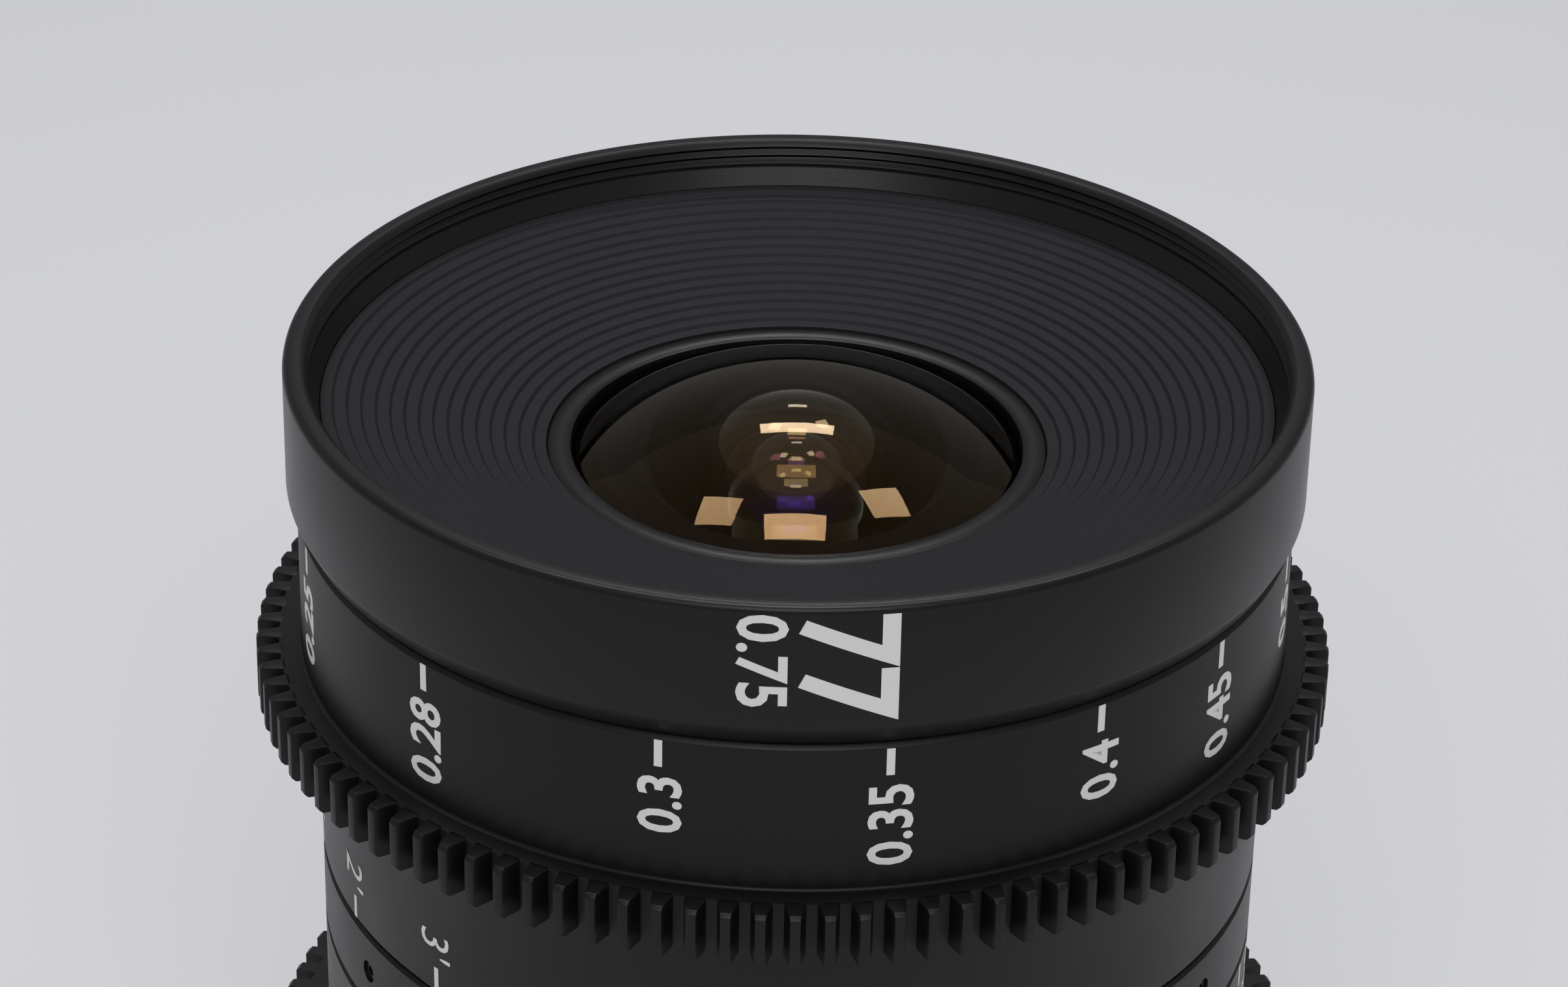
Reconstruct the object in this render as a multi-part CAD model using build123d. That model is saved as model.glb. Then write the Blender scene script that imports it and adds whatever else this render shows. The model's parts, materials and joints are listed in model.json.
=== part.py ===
from build123d import *
import math
import os

# A wide-angle cinema prime lens, in millimetres.
# The origin is the centre of the camera flange, and +Z runs along the optical axis to the front.
# Angles are in degrees about +Z, and -90 is the side that carries the front witness mark.

# Clearances and edges shared by the whole lens
running_gap = 0.05
seat_gap = 0.02
seam_gap = 0.25
washer_t = 0.15
edge_chamfer = 0.25
overrun = 1.0

# Heights of the outer rings, from the camera flange forwards
mount_plate_t = 2.5
shim_t = 0.3
rear_barrel_h = 5.2
iris_tail_h = 2.35
gear_w = 4.4
iris_band_h = 15.2
index_ring_h = 6.6
feet_band_h = 13.9
metric_band_h = 12.4
front_ring_h = 11.75

# Outer radii and walls, worked inwards from the front ring
front_ring_r = 40.0
metric_band_step = 0.8
feet_band_step = 1.2
focus_ring_wall = 2.5
cam_wall = 1.9
tube_wall = 2.0

# Gear teeth on the focus and iris rings
gear_module = 0.8
gear_shoulder = 1.8
gear_corner = 0.3
gear_root_fillet = 0.3
addendum_share = 1.0
whole_depth_share = 2.25
tooth_root_share = 0.66
tooth_tip_share = 0.3

# Front ring: filter thread, ledge in front of the baffle, tapered rear edge
rim_wall = 1.9
rim_fillet = 0.6
thread_chamfer = 0.5
filter_depth = 2.3
ledge_step = 0.9
ledge_drop = 1.4
front_web_t = 2.75
front_neck_h = 3.85
front_taper_h = 1.75
front_taper_step = 0.9

# Stepped baffle between the filter thread and the front glass
baffle_outer_drop = 3.7
baffle_inner_drop = 8.1
baffle_border = 0.85
baffle_inner_r = 19.65
baffle_t = 0.9
baffle_skirt_wall = 1.25
baffle_steps = 15
riser_lean_share = 0.18

# Flat retaining ring of the front glass
retainer_inner_r = 17.75
retainer_lip_t = 0.8
retainer_crown = 0.2
retainer_thread_h = 2.1
retainer_thread_wall = 0.8

# Optical surfaces: a positive radius curves towards the camera, a negative one towards the front
lens_1_front_rc = 30.0
lens_1_front_r = 17.7
lens_1_bevel = 0.7
lens_1_edge_t = 3.95
lens_1_rear_rc = 11.5
lens_1_rear_share = 0.94
lens_2_front_rc = 13.0
lens_2_front_share = 0.885
lens_2_bevel = 0.5
lens_2_edge_t = 1.0
lens_2_rear_rc = 8.2
lens_2_rear_share = 0.96
lens_2_drop = 4.05
lens_3_rc = 16.0
lens_3_edge_r = 9.0
lens_3_edge_t = 1.6
lens_3_bevel = 0.8

# Front cell that carries the first three elements
cell_wall = 1.7
cell_seat_w = 4.8
cell_flange_t = 1.5
cell_flange_margin = 0.5
inner_retainer_wall = 1.8
inner_retainer_h = 1.9
cell_partition_t = 2.0
rear_ring_h = 1.7
rear_ring_wall = 0.6
cell_tail_h = 1.1
cell_tail_wall = 1.9
cell_throat_wall = 1.8

# Main tube
tube_top_rise = 1.15
tube_flange_t = 3.0
tube_flange_w = 3.5

# Screws
cell_screw_r = 1.0
cell_screw_head_r = 1.9
cell_screw_head_h = 1.2
cell_screw_grip = 2.5
cell_screw_count = 4
cell_screw_angle = 45.0
socket_share = 0.5
grub_r = 0.9
grub_count = 3
grub_angle = -30.0
barrel_grub_count = 4
barrel_grub_angle = 45.0
barrel_grub_recess = 0.6

# Focus cam: the roller climbs a helical slot while the ring turns through its throw
focus_throw = 300.0
focus_travel = 3.0
cam_angle = 90.0
follower_r = 1.0
roller_wall = 0.5
follower_grip = 2.4
stop_h = 3.0
stop_air = 0.3
lug_span = 16.0
stop_play = 0.6
drive_key_w = 3.0
drive_key_h = 6.0
drive_key_depth = 0.9
drive_key_drop = 6.65
drive_key_angles = (0.0, 180.0)
guide_key_angles = (210.0, 330.0)
guide_margin = 0.5
guide_screw_r = 0.8
guide_screw_head_r = 1.3
guide_screw_depth = 1.1

# Focus carrier and its three elements
carrier_rise = 0.4
carrier_h = 12.0
carrier_land_h = 3.3
carrier_relief = 0.85
carrier_wall = 2.9
carrier_web_t = 2.5
focus_cell_wall = 2.5
focus_seat_w = 0.9
focus_seat_rise = 1.9
focus_seat_t = 1.2
focus_edge_margin = 0.7
focus_clear_r = 8.8
cement_gap = 0.02
lens_6_rear_rc = 40.0
lens_6_front_share = 2.5
lens_6_edge_t = 1.5
focus_spacer_h = 3.2
spacer_wall = 0.6
lens_5_rear_rc = -60.0
lens_5_edge_t = 3.2
lens_45_rc = -20.0
lens_4_edge_t = 0.9
lens_4_front_rc = 30.0
focus_retainer_h = 0.8

# Iris unit: five blades between a floor and a turning ring with spiral slots
iris_throw = 80.0
iris_open_r = 6.6
blade_edge_inset = 0.7
blade_pivot_r = 12.5
blade_count = 5
blade_span = 120.0
blade_heel = 4.0
blade_lead = 30.0
blade_ear_r = 0.9
blade_pin_r = 0.4
blade_t = 0.12
blade_pitch = 0.2
blade_first_angle = 10.0
stopped_down_share = 0.125
slot_samples = 9
iris_unit_rise = 11.25
iris_floor_t = 1.2
iris_floor_open_share = 0.97
iris_wall_room = 3.5
iris_wall_t = 1.5
iris_rim_h = 2.9
iris_rim_w = 3.4
actuator_room = 4.2
actuator_t = 1.0
actuator_air = 0.1
cover_t = 0.6
cover_overlap = 1.3
cover_screw_r = 0.5
cover_screw_grip = 1.8
cover_screw_count = 3
cover_screw_angle = 30.0
arm_w = 5.0
arm_t = 1.2
arm_air = 0.4
arm_post_w = 1.2
arm_boss_h = 3.6
arm_boss_w = 3.4
arm_tube_air = 0.5
arm_angle = 130.0
drive_screw_r = 1.2
drive_screw_recess = 0.3
housing_screw_r = 0.8
housing_screw_grip = 2.0
housing_screw_count = 3
housing_screw_angle = -30.0
iris_land_h = 3.0
iris_relief = 0.7
iris_tail_step = 1.0

# Rear group and its cell
rear_edge_r = 8.5
rear_clear_r = 7.8
rear_seat_z = 17.6
rear_seat_w = 1.0
rear_seat_t = 1.0
rear_top_wall = 2.5
lens_7_front_rc = 25.0
lens_7_edge_t = 1.6
lens_78_rc = -13.0
lens_8_edge_t = 4.0
lens_8_rear_rc = 60.0
rear_spacer_front_h = 3.0
lens_9_rc = 20.0
lens_9_edge_t = 1.4
rear_spacer_back_h = 3.0
lens_10_edge_r = 12.0
lens_10_clear_r = 10.7
lens_10_edge_t = 2.6
lens_10_front_rc = -30.0
lens_10_rear_rc = -20.0
rear_retainer_h = 1.4
rear_retainer_wall = 1.2
rear_cell_drop = 5.0
rear_cell_rim = 2.28
rear_flange_t = 1.6
rear_flange_margin = 1.5
rear_flange_screw_r = 1.0
rear_flange_screw_head_r = 1.8
rear_flange_screw_head_h = 1.2
rear_flange_screw_count = 3
rear_flange_screw_angle = -90.0
rear_flange_screw_inset = 2.6

# Rear barrel and bayonet
rear_barrel_top_step = 1.5
rear_barrel_taper = 3.0
rear_web_t = 2.4
rear_web_air = 0.5
shim_margin = 0.2
spigot_r = 24.8
mount_flange_w = 7.7
spigot_wall = 1.6
spigot_h = 5.5
lug_step = 1.95
lug_t = 1.6
lug_count = 3
lug_arc = 52.0
lug_first_angle = 60.0
mount_screw_inset = 4.0
mount_screw_r = 1.0
mount_screw_head_r = 1.9
mount_screw_head_h = 1.0
mount_screw_count = 4
mount_screw_angle = 45.0
mount_screw_sink = 0.1
lock_hole_r = 1.6
lock_hole_angle = 15.0
index_dot_r = 0.9
index_dot_depth = 1.0
index_dot_proud = 0.25
index_dot_angle = 90.0
rear_shield_h = 8.0
rear_shield_wall = 2.0
rear_shield_air = 2.7
rear_shield_t = 1.0
rear_mask_w = 24.0
rear_mask_h = 16.0

# Witness marks on the fixed ring, front and back
mark_w = 0.7
mark_margin = 0.9
mark_depth = 0.15
mark_angles = (-90.0, 90.0)

# Planes of the outer rings
z_rear_bottom = mount_plate_t + shim_t
z_rear_top = z_rear_bottom + rear_barrel_h
z_iris_bottom = z_rear_top + seam_gap
z_iris_gear = z_iris_bottom + iris_tail_h
z_iris_band = z_iris_gear + gear_w
z_iris_top = z_iris_band + iris_band_h
z_index_bottom = z_iris_top + seam_gap
z_index_top = z_index_bottom + index_ring_h
z_focus_bottom = z_index_top + seam_gap
z_focus_gear = z_focus_bottom + feet_band_h
z_metric_band = z_focus_gear + gear_w
z_focus_top = z_metric_band + metric_band_h
z_front_bottom = z_focus_top + seam_gap
z_rim = z_front_bottom + front_ring_h

# Radii of the nested tubes
metric_band_r = front_ring_r - metric_band_step
feet_band_r = metric_band_r - feet_band_step
ring_bore_r = feet_band_r - focus_ring_wall
cam_r = ring_bore_r - running_gap
cam_bore_r = cam_r - cam_wall
tube_r = cam_bore_r - running_gap
tube_bore_r = tube_r - tube_wall
seat_on_tube_r = tube_r + seat_gap
gear_root_r = metric_band_r + gear_shoulder
gear_depth = gear_module * whole_depth_share
gear_pitch_r = gear_root_r + gear_depth - gear_module * addendum_share
gear_teeth = round(2 * gear_pitch_r / gear_module)
gear_tip_r = gear_root_r + gear_depth

# Places of the inner pieces
filter_bore_r = front_ring_r - rim_wall
baffle_seat_r = filter_bore_r - ledge_step
rear_top_r = feet_band_r - rear_barrel_top_step
rear_bottom_r = rear_top_r - rear_barrel_taper
mount_plate_r = spigot_r + mount_flange_w
mount_screw_ring_r = mount_plate_r - mount_screw_inset
blade_outer_r = blade_pivot_r - blade_edge_inset
iris_wall_r = blade_pivot_r + iris_wall_room
actuator_inner_r = blade_pivot_r - actuator_room
lens_2_front_r = lens_2_front_rc * lens_2_front_share
lens_2_edge_r = lens_2_front_r + lens_2_bevel
focus_edge_r = focus_clear_r + focus_edge_margin
lens_6_front_rc = focus_clear_r * lens_6_front_share
rear_cell_r = spigot_r - spigot_wall - rear_shield_air - rear_shield_wall
rear_cell_mouth = rear_cell_r - rear_cell_rim - (lens_10_edge_r + seat_gap + rear_retainer_wall)
cell_screw_ring_r = tube_bore_r - tube_flange_w / 2
z_web_top = z_front_bottom + front_web_t
z_neck = z_front_bottom - front_neck_h
z_tube_top = z_front_bottom + tube_top_rise
z_tube_bottom = z_rear_bottom + rear_web_t
z_cam_top = z_neck - seam_gap
z_cam_bottom = z_focus_bottom + stop_h
z_drive_key = z_cam_top - drive_key_drop
z_stop_screw = z_focus_bottom + stop_h / 2
stop_span = 360.0 - focus_throw - lug_span - 2 * stop_play
stop_screw_angles = (cam_angle - stop_span / 4, cam_angle + stop_span / 4)
lug_angle = cam_angle + stop_span / 2 + stop_play + lug_span / 2
z_baffle_outer = z_rim - baffle_outer_drop
z_baffle_inner = z_rim - baffle_inner_drop
z_lens_1_front = z_baffle_inner - retainer_crown - retainer_lip_t
z_lens_1_seat = z_lens_1_front - lens_1_edge_t
z_lens_2_seat = z_lens_1_seat - lens_2_drop
z_lens_3_front = z_lens_2_seat - cell_partition_t
z_lens_3_rear = z_lens_3_front - lens_3_edge_t
z_carrier = z_focus_bottom + carrier_rise
z_follower = z_carrier + carrier_h / 2
guide_key_h = carrier_h - 2 * carrier_land_h - guide_margin
roller_r = follower_r + roller_wall
z_lens_6 = z_carrier + focus_seat_rise
z_lens_5 = z_lens_6 + lens_6_edge_t + focus_spacer_h
z_lens_4 = z_lens_5 + lens_5_edge_t + cement_gap
z_lens_4_front = z_lens_4 + lens_4_edge_t
z_iris_unit = z_iris_bottom + iris_unit_rise
z_housing_screw = z_iris_unit + iris_rim_h / 2
z_blades = z_iris_unit + iris_floor_t + actuator_air
z_actuator = z_blades + blade_count * blade_pitch + actuator_air
z_cover = z_actuator + actuator_t + actuator_air
z_arm = z_cover + cover_t + arm_air
z_drive_screw = z_arm + arm_boss_h / 2


def polar(radius, angle, z=0.0):
    """A point at a radius and an angle about the optical axis."""
    return (radius * math.cos(math.radians(angle)), radius * math.sin(math.radians(angle)), z)


def sag(curve, radius):
    """How far a spherical surface drops from its apex at a radius."""
    return curve - math.copysign(math.sqrt(curve ** 2 - radius ** 2), curve)


def turned(*outline):
    """A turned piece from its closed outline: (r, z) points, with ((r, z), (r, z)) as an arc's
    middle and end."""
    start = outline[0]
    edges = []
    last = start
    for item in outline[1:] + (start,):
        if isinstance(item[0], tuple):
            middle, end = item
            edges.append(ThreePointArc((last[0], 0, last[1]), (middle[0], 0, middle[1]), (end[0], 0, end[1])))
            last = end
        elif item != last:
            edges.append(Line((last[0], 0, last[1]), (item[0], 0, item[1])))
            last = item
    return revolve(make_face(Wire(edges)), Axis.Z)


def ring(outer_r, inner_r, low, high):
    """A plain tube between two heights."""
    return turned((inner_r, low), (outer_r, low), (outer_r, high), (inner_r, high))


def chamfered_ring(outer_r, inner_r, low, high, cut=edge_chamfer):
    """A tube with both outer edges chamfered."""
    return turned((inner_r, low), (outer_r - cut, low), (outer_r, low + cut),
                  (outer_r, high - cut), (outer_r - cut, high), (inner_r, high))


def upright(radius, low, high, place_r=0.0, angle=0.0):
    """A cylinder along the optical axis."""
    body = Cylinder(radius, high - low, align=(Align.CENTER, Align.CENTER, Align.MIN))
    return Location(polar(place_r, angle, low)) * body


def radial(radius, inner, outer, angle, z):
    """A cylinder that points away from the optical axis."""
    body = Cylinder(radius, outer - inner, align=(Align.CENTER, Align.CENTER, Align.MIN))
    return Location((0, 0, z), (0, 0, angle)) * (Location((inner, 0, 0), (0, 90, 0)) * body)


def radial_block(width, inner, outer, low, high, angle):
    """A block that points away from the optical axis."""
    block = Box(outer - inner, width, high - low, align=(Align.MIN, Align.CENTER, Align.MIN))
    return Location((0, 0, 0), (0, 0, angle)) * (Location((inner, 0, low)) * block)


def sector(inner_r, outer_r, low, high, first, last):
    """A part of a tube between two angles."""
    face = make_face(Wire([
        Line(polar(inner_r, first), polar(outer_r, first)),
        ThreePointArc(polar(outer_r, first), polar(outer_r, (first + last) / 2), polar(outer_r, last)),
        Line(polar(outer_r, last), polar(inner_r, last)),
        ThreePointArc(polar(inner_r, last), polar(inner_r, (first + last) / 2), polar(inner_r, first)),
    ]))
    return Location((0, 0, low)) * extrude(face, high - low, dir=(0, 0, 1))


def spread(count, first=0.0):
    """Evenly spread angles."""
    return [first + 360.0 * index / count for index in range(count)]


def group(solids):
    """Like pieces that share one node."""
    return Compound(children=[solid for piece in solids for solid in piece.solids()])


def surface_arc(curve, radius, apex, outwards):
    """One optical surface as an arc item of an outline, run outwards or inwards."""
    middle = (radius / 2, apex - sag(curve, radius / 2))
    end = (radius, apex - sag(curve, radius)) if outwards else (0.0, apex)
    return (middle, end)


def element(rear, edge_t, edge_r, front_curve, front_r, rear_curve, rear_r):
    """A glass element from the height of its rear edge, its edge and its two surfaces."""
    front = rear + edge_t
    front_apex = front + sag(front_curve, front_r)
    rear_apex = rear + sag(rear_curve, rear_r)
    return turned((0.0, rear_apex), (0.0, front_apex), surface_arc(front_curve, front_r, front_apex, True),
                  (edge_r, front), (edge_r, rear), (rear_r, rear),
                  surface_arc(rear_curve, rear_r, rear_apex, False))


def socket_screw(shank_r, head_r, head_h, low, seat, place_r, angle):
    """A cap screw along the axis, with a hexagon socket in its head."""
    top = seat + head_h
    socket = RegularPolygon(shank_r, 6)
    cut = Location(polar(place_r, angle, top - head_h * socket_share)) * extrude(socket, head_h)
    return upright(shank_r, low, seat, place_r, angle) + upright(head_r, seat, top, place_r, angle) - cut


def grub_screw(radius, inner, outer, angle, z):
    """A headless radial screw with a hexagon socket in its outer end."""
    socket = extrude(RegularPolygon(radius * socket_share, 6), radius)
    cut = Location((0, 0, z), (0, 0, angle)) * (Location((outer - radius, 0, 0), (0, 90, 0)) * socket)
    return radial(radius, inner, outer, angle, z) - cut


def gear_band(low):
    """The toothed band of a ring, with the corners of its teeth turned off."""
    pitch_angle = 360.0 / gear_teeth
    points = []
    for angle in spread(gear_teeth):
        for side, radius, share in ((-1, gear_root_r, tooth_root_share), (-1, gear_tip_r, tooth_tip_share),
                                    (1, gear_tip_r, tooth_tip_share), (1, gear_root_r, tooth_root_share)):
            points.append(polar(radius, angle + side * share * pitch_angle / 2))
    outline = make_face(Polyline(*points, close=True))
    teeth = Location((0, 0, low)) * extrude(outline, gear_w, dir=(0, 0, 1))
    return teeth & chamfered_ring(gear_tip_r, ring_bore_r, low, low + gear_w, gear_corner)


def front_ring():
    """The front ring, with the filter bore, the ledge and the neck that screws on the tube."""
    filter_floor = z_rim - filter_depth
    corner = rim_fillet * (1 - math.sqrt(0.5))
    fillet_middle = (front_ring_r - corner, z_rim - corner)
    return turned(
        (seat_on_tube_r, z_neck), (cam_r, z_neck), (cam_r, z_front_bottom),
        (front_ring_r - front_taper_step, z_front_bottom),
        (front_ring_r, z_front_bottom + front_taper_h), (front_ring_r, z_rim - rim_fillet),
        (fillet_middle, (front_ring_r - rim_fillet, z_rim)),
        (filter_bore_r + thread_chamfer, z_rim), (filter_bore_r, z_rim - thread_chamfer),
        (filter_bore_r, filter_floor), (baffle_seat_r, filter_floor - ledge_drop),
        (baffle_seat_r, z_web_top), (seat_on_tube_r, z_web_top))


def front_baffle():
    """The stepped black cone that keeps stray light out."""
    outer = baffle_seat_r - running_gap
    step_w = (outer - baffle_border - baffle_inner_r) / baffle_steps
    riser = (z_baffle_outer - z_baffle_inner) / baffle_steps
    stairs = [(outer, z_baffle_outer)]
    for index in range(baffle_steps):
        radius = outer - baffle_border - index * step_w
        stairs.append((radius, z_baffle_outer - index * riser))
        stairs.append((radius - step_w * riser_lean_share, z_baffle_outer - (index + 1) * riser))
    stairs.append((baffle_inner_r, z_baffle_inner))
    skirt = outer - baffle_skirt_wall
    return turned(*stairs, (baffle_inner_r, z_baffle_inner - baffle_t),
                  (skirt, z_baffle_outer - baffle_t), (skirt, z_web_top), (outer, z_web_top))


def front_cell():
    """The cell of the first three elements, with the flange that is screwed on the tube."""
    thread_r = baffle_inner_r
    outer = thread_r + cell_wall
    top = z_baffle_inner - baffle_t
    edge_1 = lens_1_front_r + lens_1_bevel + seat_gap
    throat = edge_1 - cell_seat_w
    edge_2 = lens_2_edge_r + seat_gap
    edge_3 = lens_3_edge_r + seat_gap
    pocket = edge_2 + inner_retainer_wall - seat_gap
    z_pocket = z_lens_2_seat + lens_2_edge_t
    z_pocket_top = z_pocket + inner_retainer_h
    z_rear_ring = z_lens_3_rear - rear_ring_h
    bottom = z_rear_ring - cell_tail_h
    tail = edge_3 + rear_ring_wall + cell_tail_wall
    shell = turned(
        (thread_r, top), (thread_r, z_lens_1_front + retainer_lip_t - retainer_thread_h),
        (edge_1, z_lens_1_front + retainer_lip_t - retainer_thread_h), (edge_1, z_lens_1_seat),
        (throat, z_lens_1_seat), (pocket, z_pocket_top), (pocket, z_pocket), (edge_2, z_pocket),
        (edge_2, z_lens_2_seat), (lens_3_edge_r - lens_3_bevel, z_lens_2_seat),
        (lens_3_edge_r - lens_3_bevel, z_lens_3_front), (edge_3, z_lens_3_front),
        (edge_3, z_lens_3_rear), (edge_3 + rear_ring_wall, z_lens_3_rear),
        (edge_3 + rear_ring_wall, bottom), (tail, bottom), (tail, z_lens_3_front),
        (pocket + cell_throat_wall, z_lens_2_seat), (pocket + cell_throat_wall, z_pocket),
        (outer, z_lens_1_seat - cell_wall), (outer, z_tube_top),
        (tube_r - cell_flange_margin, z_tube_top), (tube_r - cell_flange_margin, z_tube_top + cell_flange_t),
        (outer, z_tube_top + cell_flange_t), (outer, top))
    for angle in spread(cell_screw_count, cell_screw_angle):
        shell -= upright(cell_screw_r + running_gap, z_tube_top - overrun,
                         z_tube_top + cell_flange_t + overrun, cell_screw_ring_r, angle)
    return shell


def front_group():
    """The first three elements and the rings that hold them."""
    retainer_outer = baffle_inner_r - running_gap
    edge_1 = lens_1_front_r + lens_1_bevel
    lip_top = z_lens_1_front + retainer_lip_t
    crown = ((retainer_outer + retainer_inner_r) / 2, lip_top + retainer_crown)
    z_pocket = z_lens_2_seat + lens_2_edge_t
    edge_3 = lens_3_edge_r - lens_3_bevel
    return {
        "front_retainer": turned(
            (retainer_inner_r, z_lens_1_front + seat_gap), (retainer_inner_r, lip_top),
            (crown, (retainer_outer, lip_top)), (retainer_outer, lip_top - retainer_thread_h),
            (retainer_outer - retainer_thread_wall, lip_top - retainer_thread_h),
            (retainer_outer - retainer_thread_wall, z_lens_1_front + seat_gap)),
        "lens_1": element(z_lens_1_seat, lens_1_edge_t, edge_1, lens_1_front_rc, lens_1_front_r,
                          lens_1_rear_rc, lens_1_rear_rc * lens_1_rear_share),
        "lens_2": element(z_lens_2_seat, lens_2_edge_t, lens_2_edge_r, lens_2_front_rc, lens_2_front_r,
                          lens_2_rear_rc, lens_2_rear_rc * lens_2_rear_share),
        "inner_retainer": ring(lens_2_edge_r + inner_retainer_wall - seat_gap, lens_2_front_r,
                               z_pocket + seat_gap, z_pocket + inner_retainer_h),
        "lens_3": element(z_lens_3_rear, lens_3_edge_t, lens_3_edge_r, lens_3_rc, edge_3,
                          -lens_3_rc, edge_3),
        "front_cell_rear_ring": ring(lens_3_edge_r + rear_ring_wall, edge_3,
                                     z_lens_3_rear - rear_ring_h, z_lens_3_rear - seat_gap),
        "front_cell_screws": group([
            socket_screw(cell_screw_r, cell_screw_head_r, cell_screw_head_h,
                         z_tube_top - cell_screw_grip, z_tube_top + cell_flange_t,
                         cell_screw_ring_r, angle) for angle in spread(cell_screw_count, cell_screw_angle)]),
    }


def main_tube():
    """The fixed tube that everything is built on, slotted for the follower, keys and iris."""
    tube = turned(
        (tube_bore_r, z_tube_bottom), (tube_r, z_tube_bottom), (tube_r, z_tube_top),
        (tube_bore_r - tube_flange_w, z_tube_top),
        (tube_bore_r - tube_flange_w, z_tube_top - tube_flange_t), (tube_bore_r, z_tube_top - tube_flange_t))
    for angle in spread(cell_screw_count, cell_screw_angle):
        tube -= upright(cell_screw_r + seat_gap, z_tube_top - tube_flange_t - overrun, z_tube_top + overrun,
                        cell_screw_ring_r, angle)
    inner = tube_bore_r - overrun
    outer = tube_r + overrun
    slot_half = roller_r + running_gap
    tube -= radial_block(2 * slot_half, inner, outer, z_follower, z_follower + focus_travel, cam_angle)
    for height in (z_follower, z_follower + focus_travel):
        tube -= radial(slot_half, inner, outer, cam_angle, height)
    low = z_follower - guide_key_h / 2 - guide_margin
    high = z_follower + guide_key_h / 2 + focus_travel + guide_margin
    for angle in guide_key_angles:
        tube -= radial_block(2 * slot_half, inner, outer, low, high, angle)
    iris_slot_half = drive_screw_r + 2 * running_gap
    tube -= sector(inner, outer, z_drive_screw - iris_slot_half, z_drive_screw + iris_slot_half,
                   arm_angle - iris_throw, arm_angle)
    for angle in (arm_angle - iris_throw, arm_angle):
        tube -= radial(iris_slot_half, inner, outer, angle, z_drive_screw)
    for angle in spread(housing_screw_count, housing_screw_angle):
        tube -= radial(housing_screw_r + seat_gap, inner, outer, angle, z_housing_screw)
    for angle in stop_screw_angles:
        tube -= radial(housing_screw_r + seat_gap, inner, outer, angle, z_stop_screw)
    return tube


def focus_ring():
    """The focus ring: feet band, gear and metre band turned from one piece."""
    fillet = gear_root_fillet
    corner = (metric_band_r + fillet * (1 - math.sqrt(0.5)), z_metric_band + fillet * (1 - math.sqrt(0.5)))
    band = turned(
        (ring_bore_r, z_focus_bottom), (feet_band_r - edge_chamfer, z_focus_bottom),
        (feet_band_r, z_focus_bottom + edge_chamfer), (feet_band_r, z_focus_gear),
        (gear_root_r, z_focus_gear), (gear_root_r, z_metric_band), (metric_band_r + fillet, z_metric_band),
        (corner, (metric_band_r, z_metric_band + fillet)), (metric_band_r, z_focus_top - edge_chamfer),
        (metric_band_r - edge_chamfer, z_focus_top), (ring_bore_r, z_focus_top))
    band += gear_band(z_focus_gear)
    for angle in drive_key_angles:
        band -= radial_block(drive_key_w + 2 * seat_gap, ring_bore_r - overrun,
                             ring_bore_r + drive_key_depth + seat_gap,
                             z_drive_key - seat_gap, z_drive_key + drive_key_h + seat_gap, angle)
    return band


def cam_sleeve():
    """The sleeve under the focus ring, with its helical slot, key seats and stop lug."""
    sleeve = ring(cam_r, cam_bore_r, z_focus_bottom + stop_air, z_cam_top)
    sleeve -= sector(cam_bore_r - overrun, cam_r + overrun, z_focus_bottom, z_cam_bottom,
                     lug_angle + lug_span / 2, lug_angle + 360.0 - lug_span / 2)
    slot_r = roller_r + running_gap
    pitch = focus_travel * 360.0 / focus_throw
    middle_r = (cam_r + cam_bore_r) / 2
    depth = cam_wall + overrun
    path = Helix(pitch, focus_travel, middle_r, lefthand=True)
    section = Plane.XZ * Pos(middle_r, 0, 0) * Rectangle(depth, 2 * slot_r)
    sleeve -= Location((0, 0, z_follower), (0, 0, cam_angle)) * sweep(section, path, is_frenet=True)
    for angle, rise in ((cam_angle, 0.0), (cam_angle - focus_throw, focus_travel)):
        sleeve -= radial(slot_r, middle_r - depth / 2, middle_r + depth / 2, angle, z_follower + rise)
    for angle in drive_key_angles:
        sleeve -= radial_block(drive_key_w + 2 * seat_gap, cam_r - drive_key_depth - seat_gap,
                               cam_r + overrun, z_drive_key - seat_gap,
                               z_drive_key + drive_key_h + seat_gap, angle)
    return sleeve


def focus_drive():
    """Keys that join the ring and the sleeve, and the stop that limits their turn."""
    keys = [radial_block(drive_key_w, cam_r - drive_key_depth, ring_bore_r + drive_key_depth,
                         z_drive_key, z_drive_key + drive_key_h, angle) for angle in drive_key_angles]
    stop = sector(seat_on_tube_r, cam_r, z_focus_bottom + stop_air, z_cam_bottom - stop_air,
                  cam_angle - stop_span / 2, cam_angle + stop_span / 2)
    screws = []
    for angle in stop_screw_angles:
        stop -= radial(housing_screw_r + seat_gap, tube_r - overrun, cam_r + overrun, angle, z_stop_screw)
        screws.append(grub_screw(housing_screw_r, tube_bore_r + seat_gap, cam_r - seat_gap, angle,
                                 z_stop_screw))
    return {"focus_drive_keys": group(keys), "focus_stop": stop, "focus_stop_screws": group(screws)}


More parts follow.
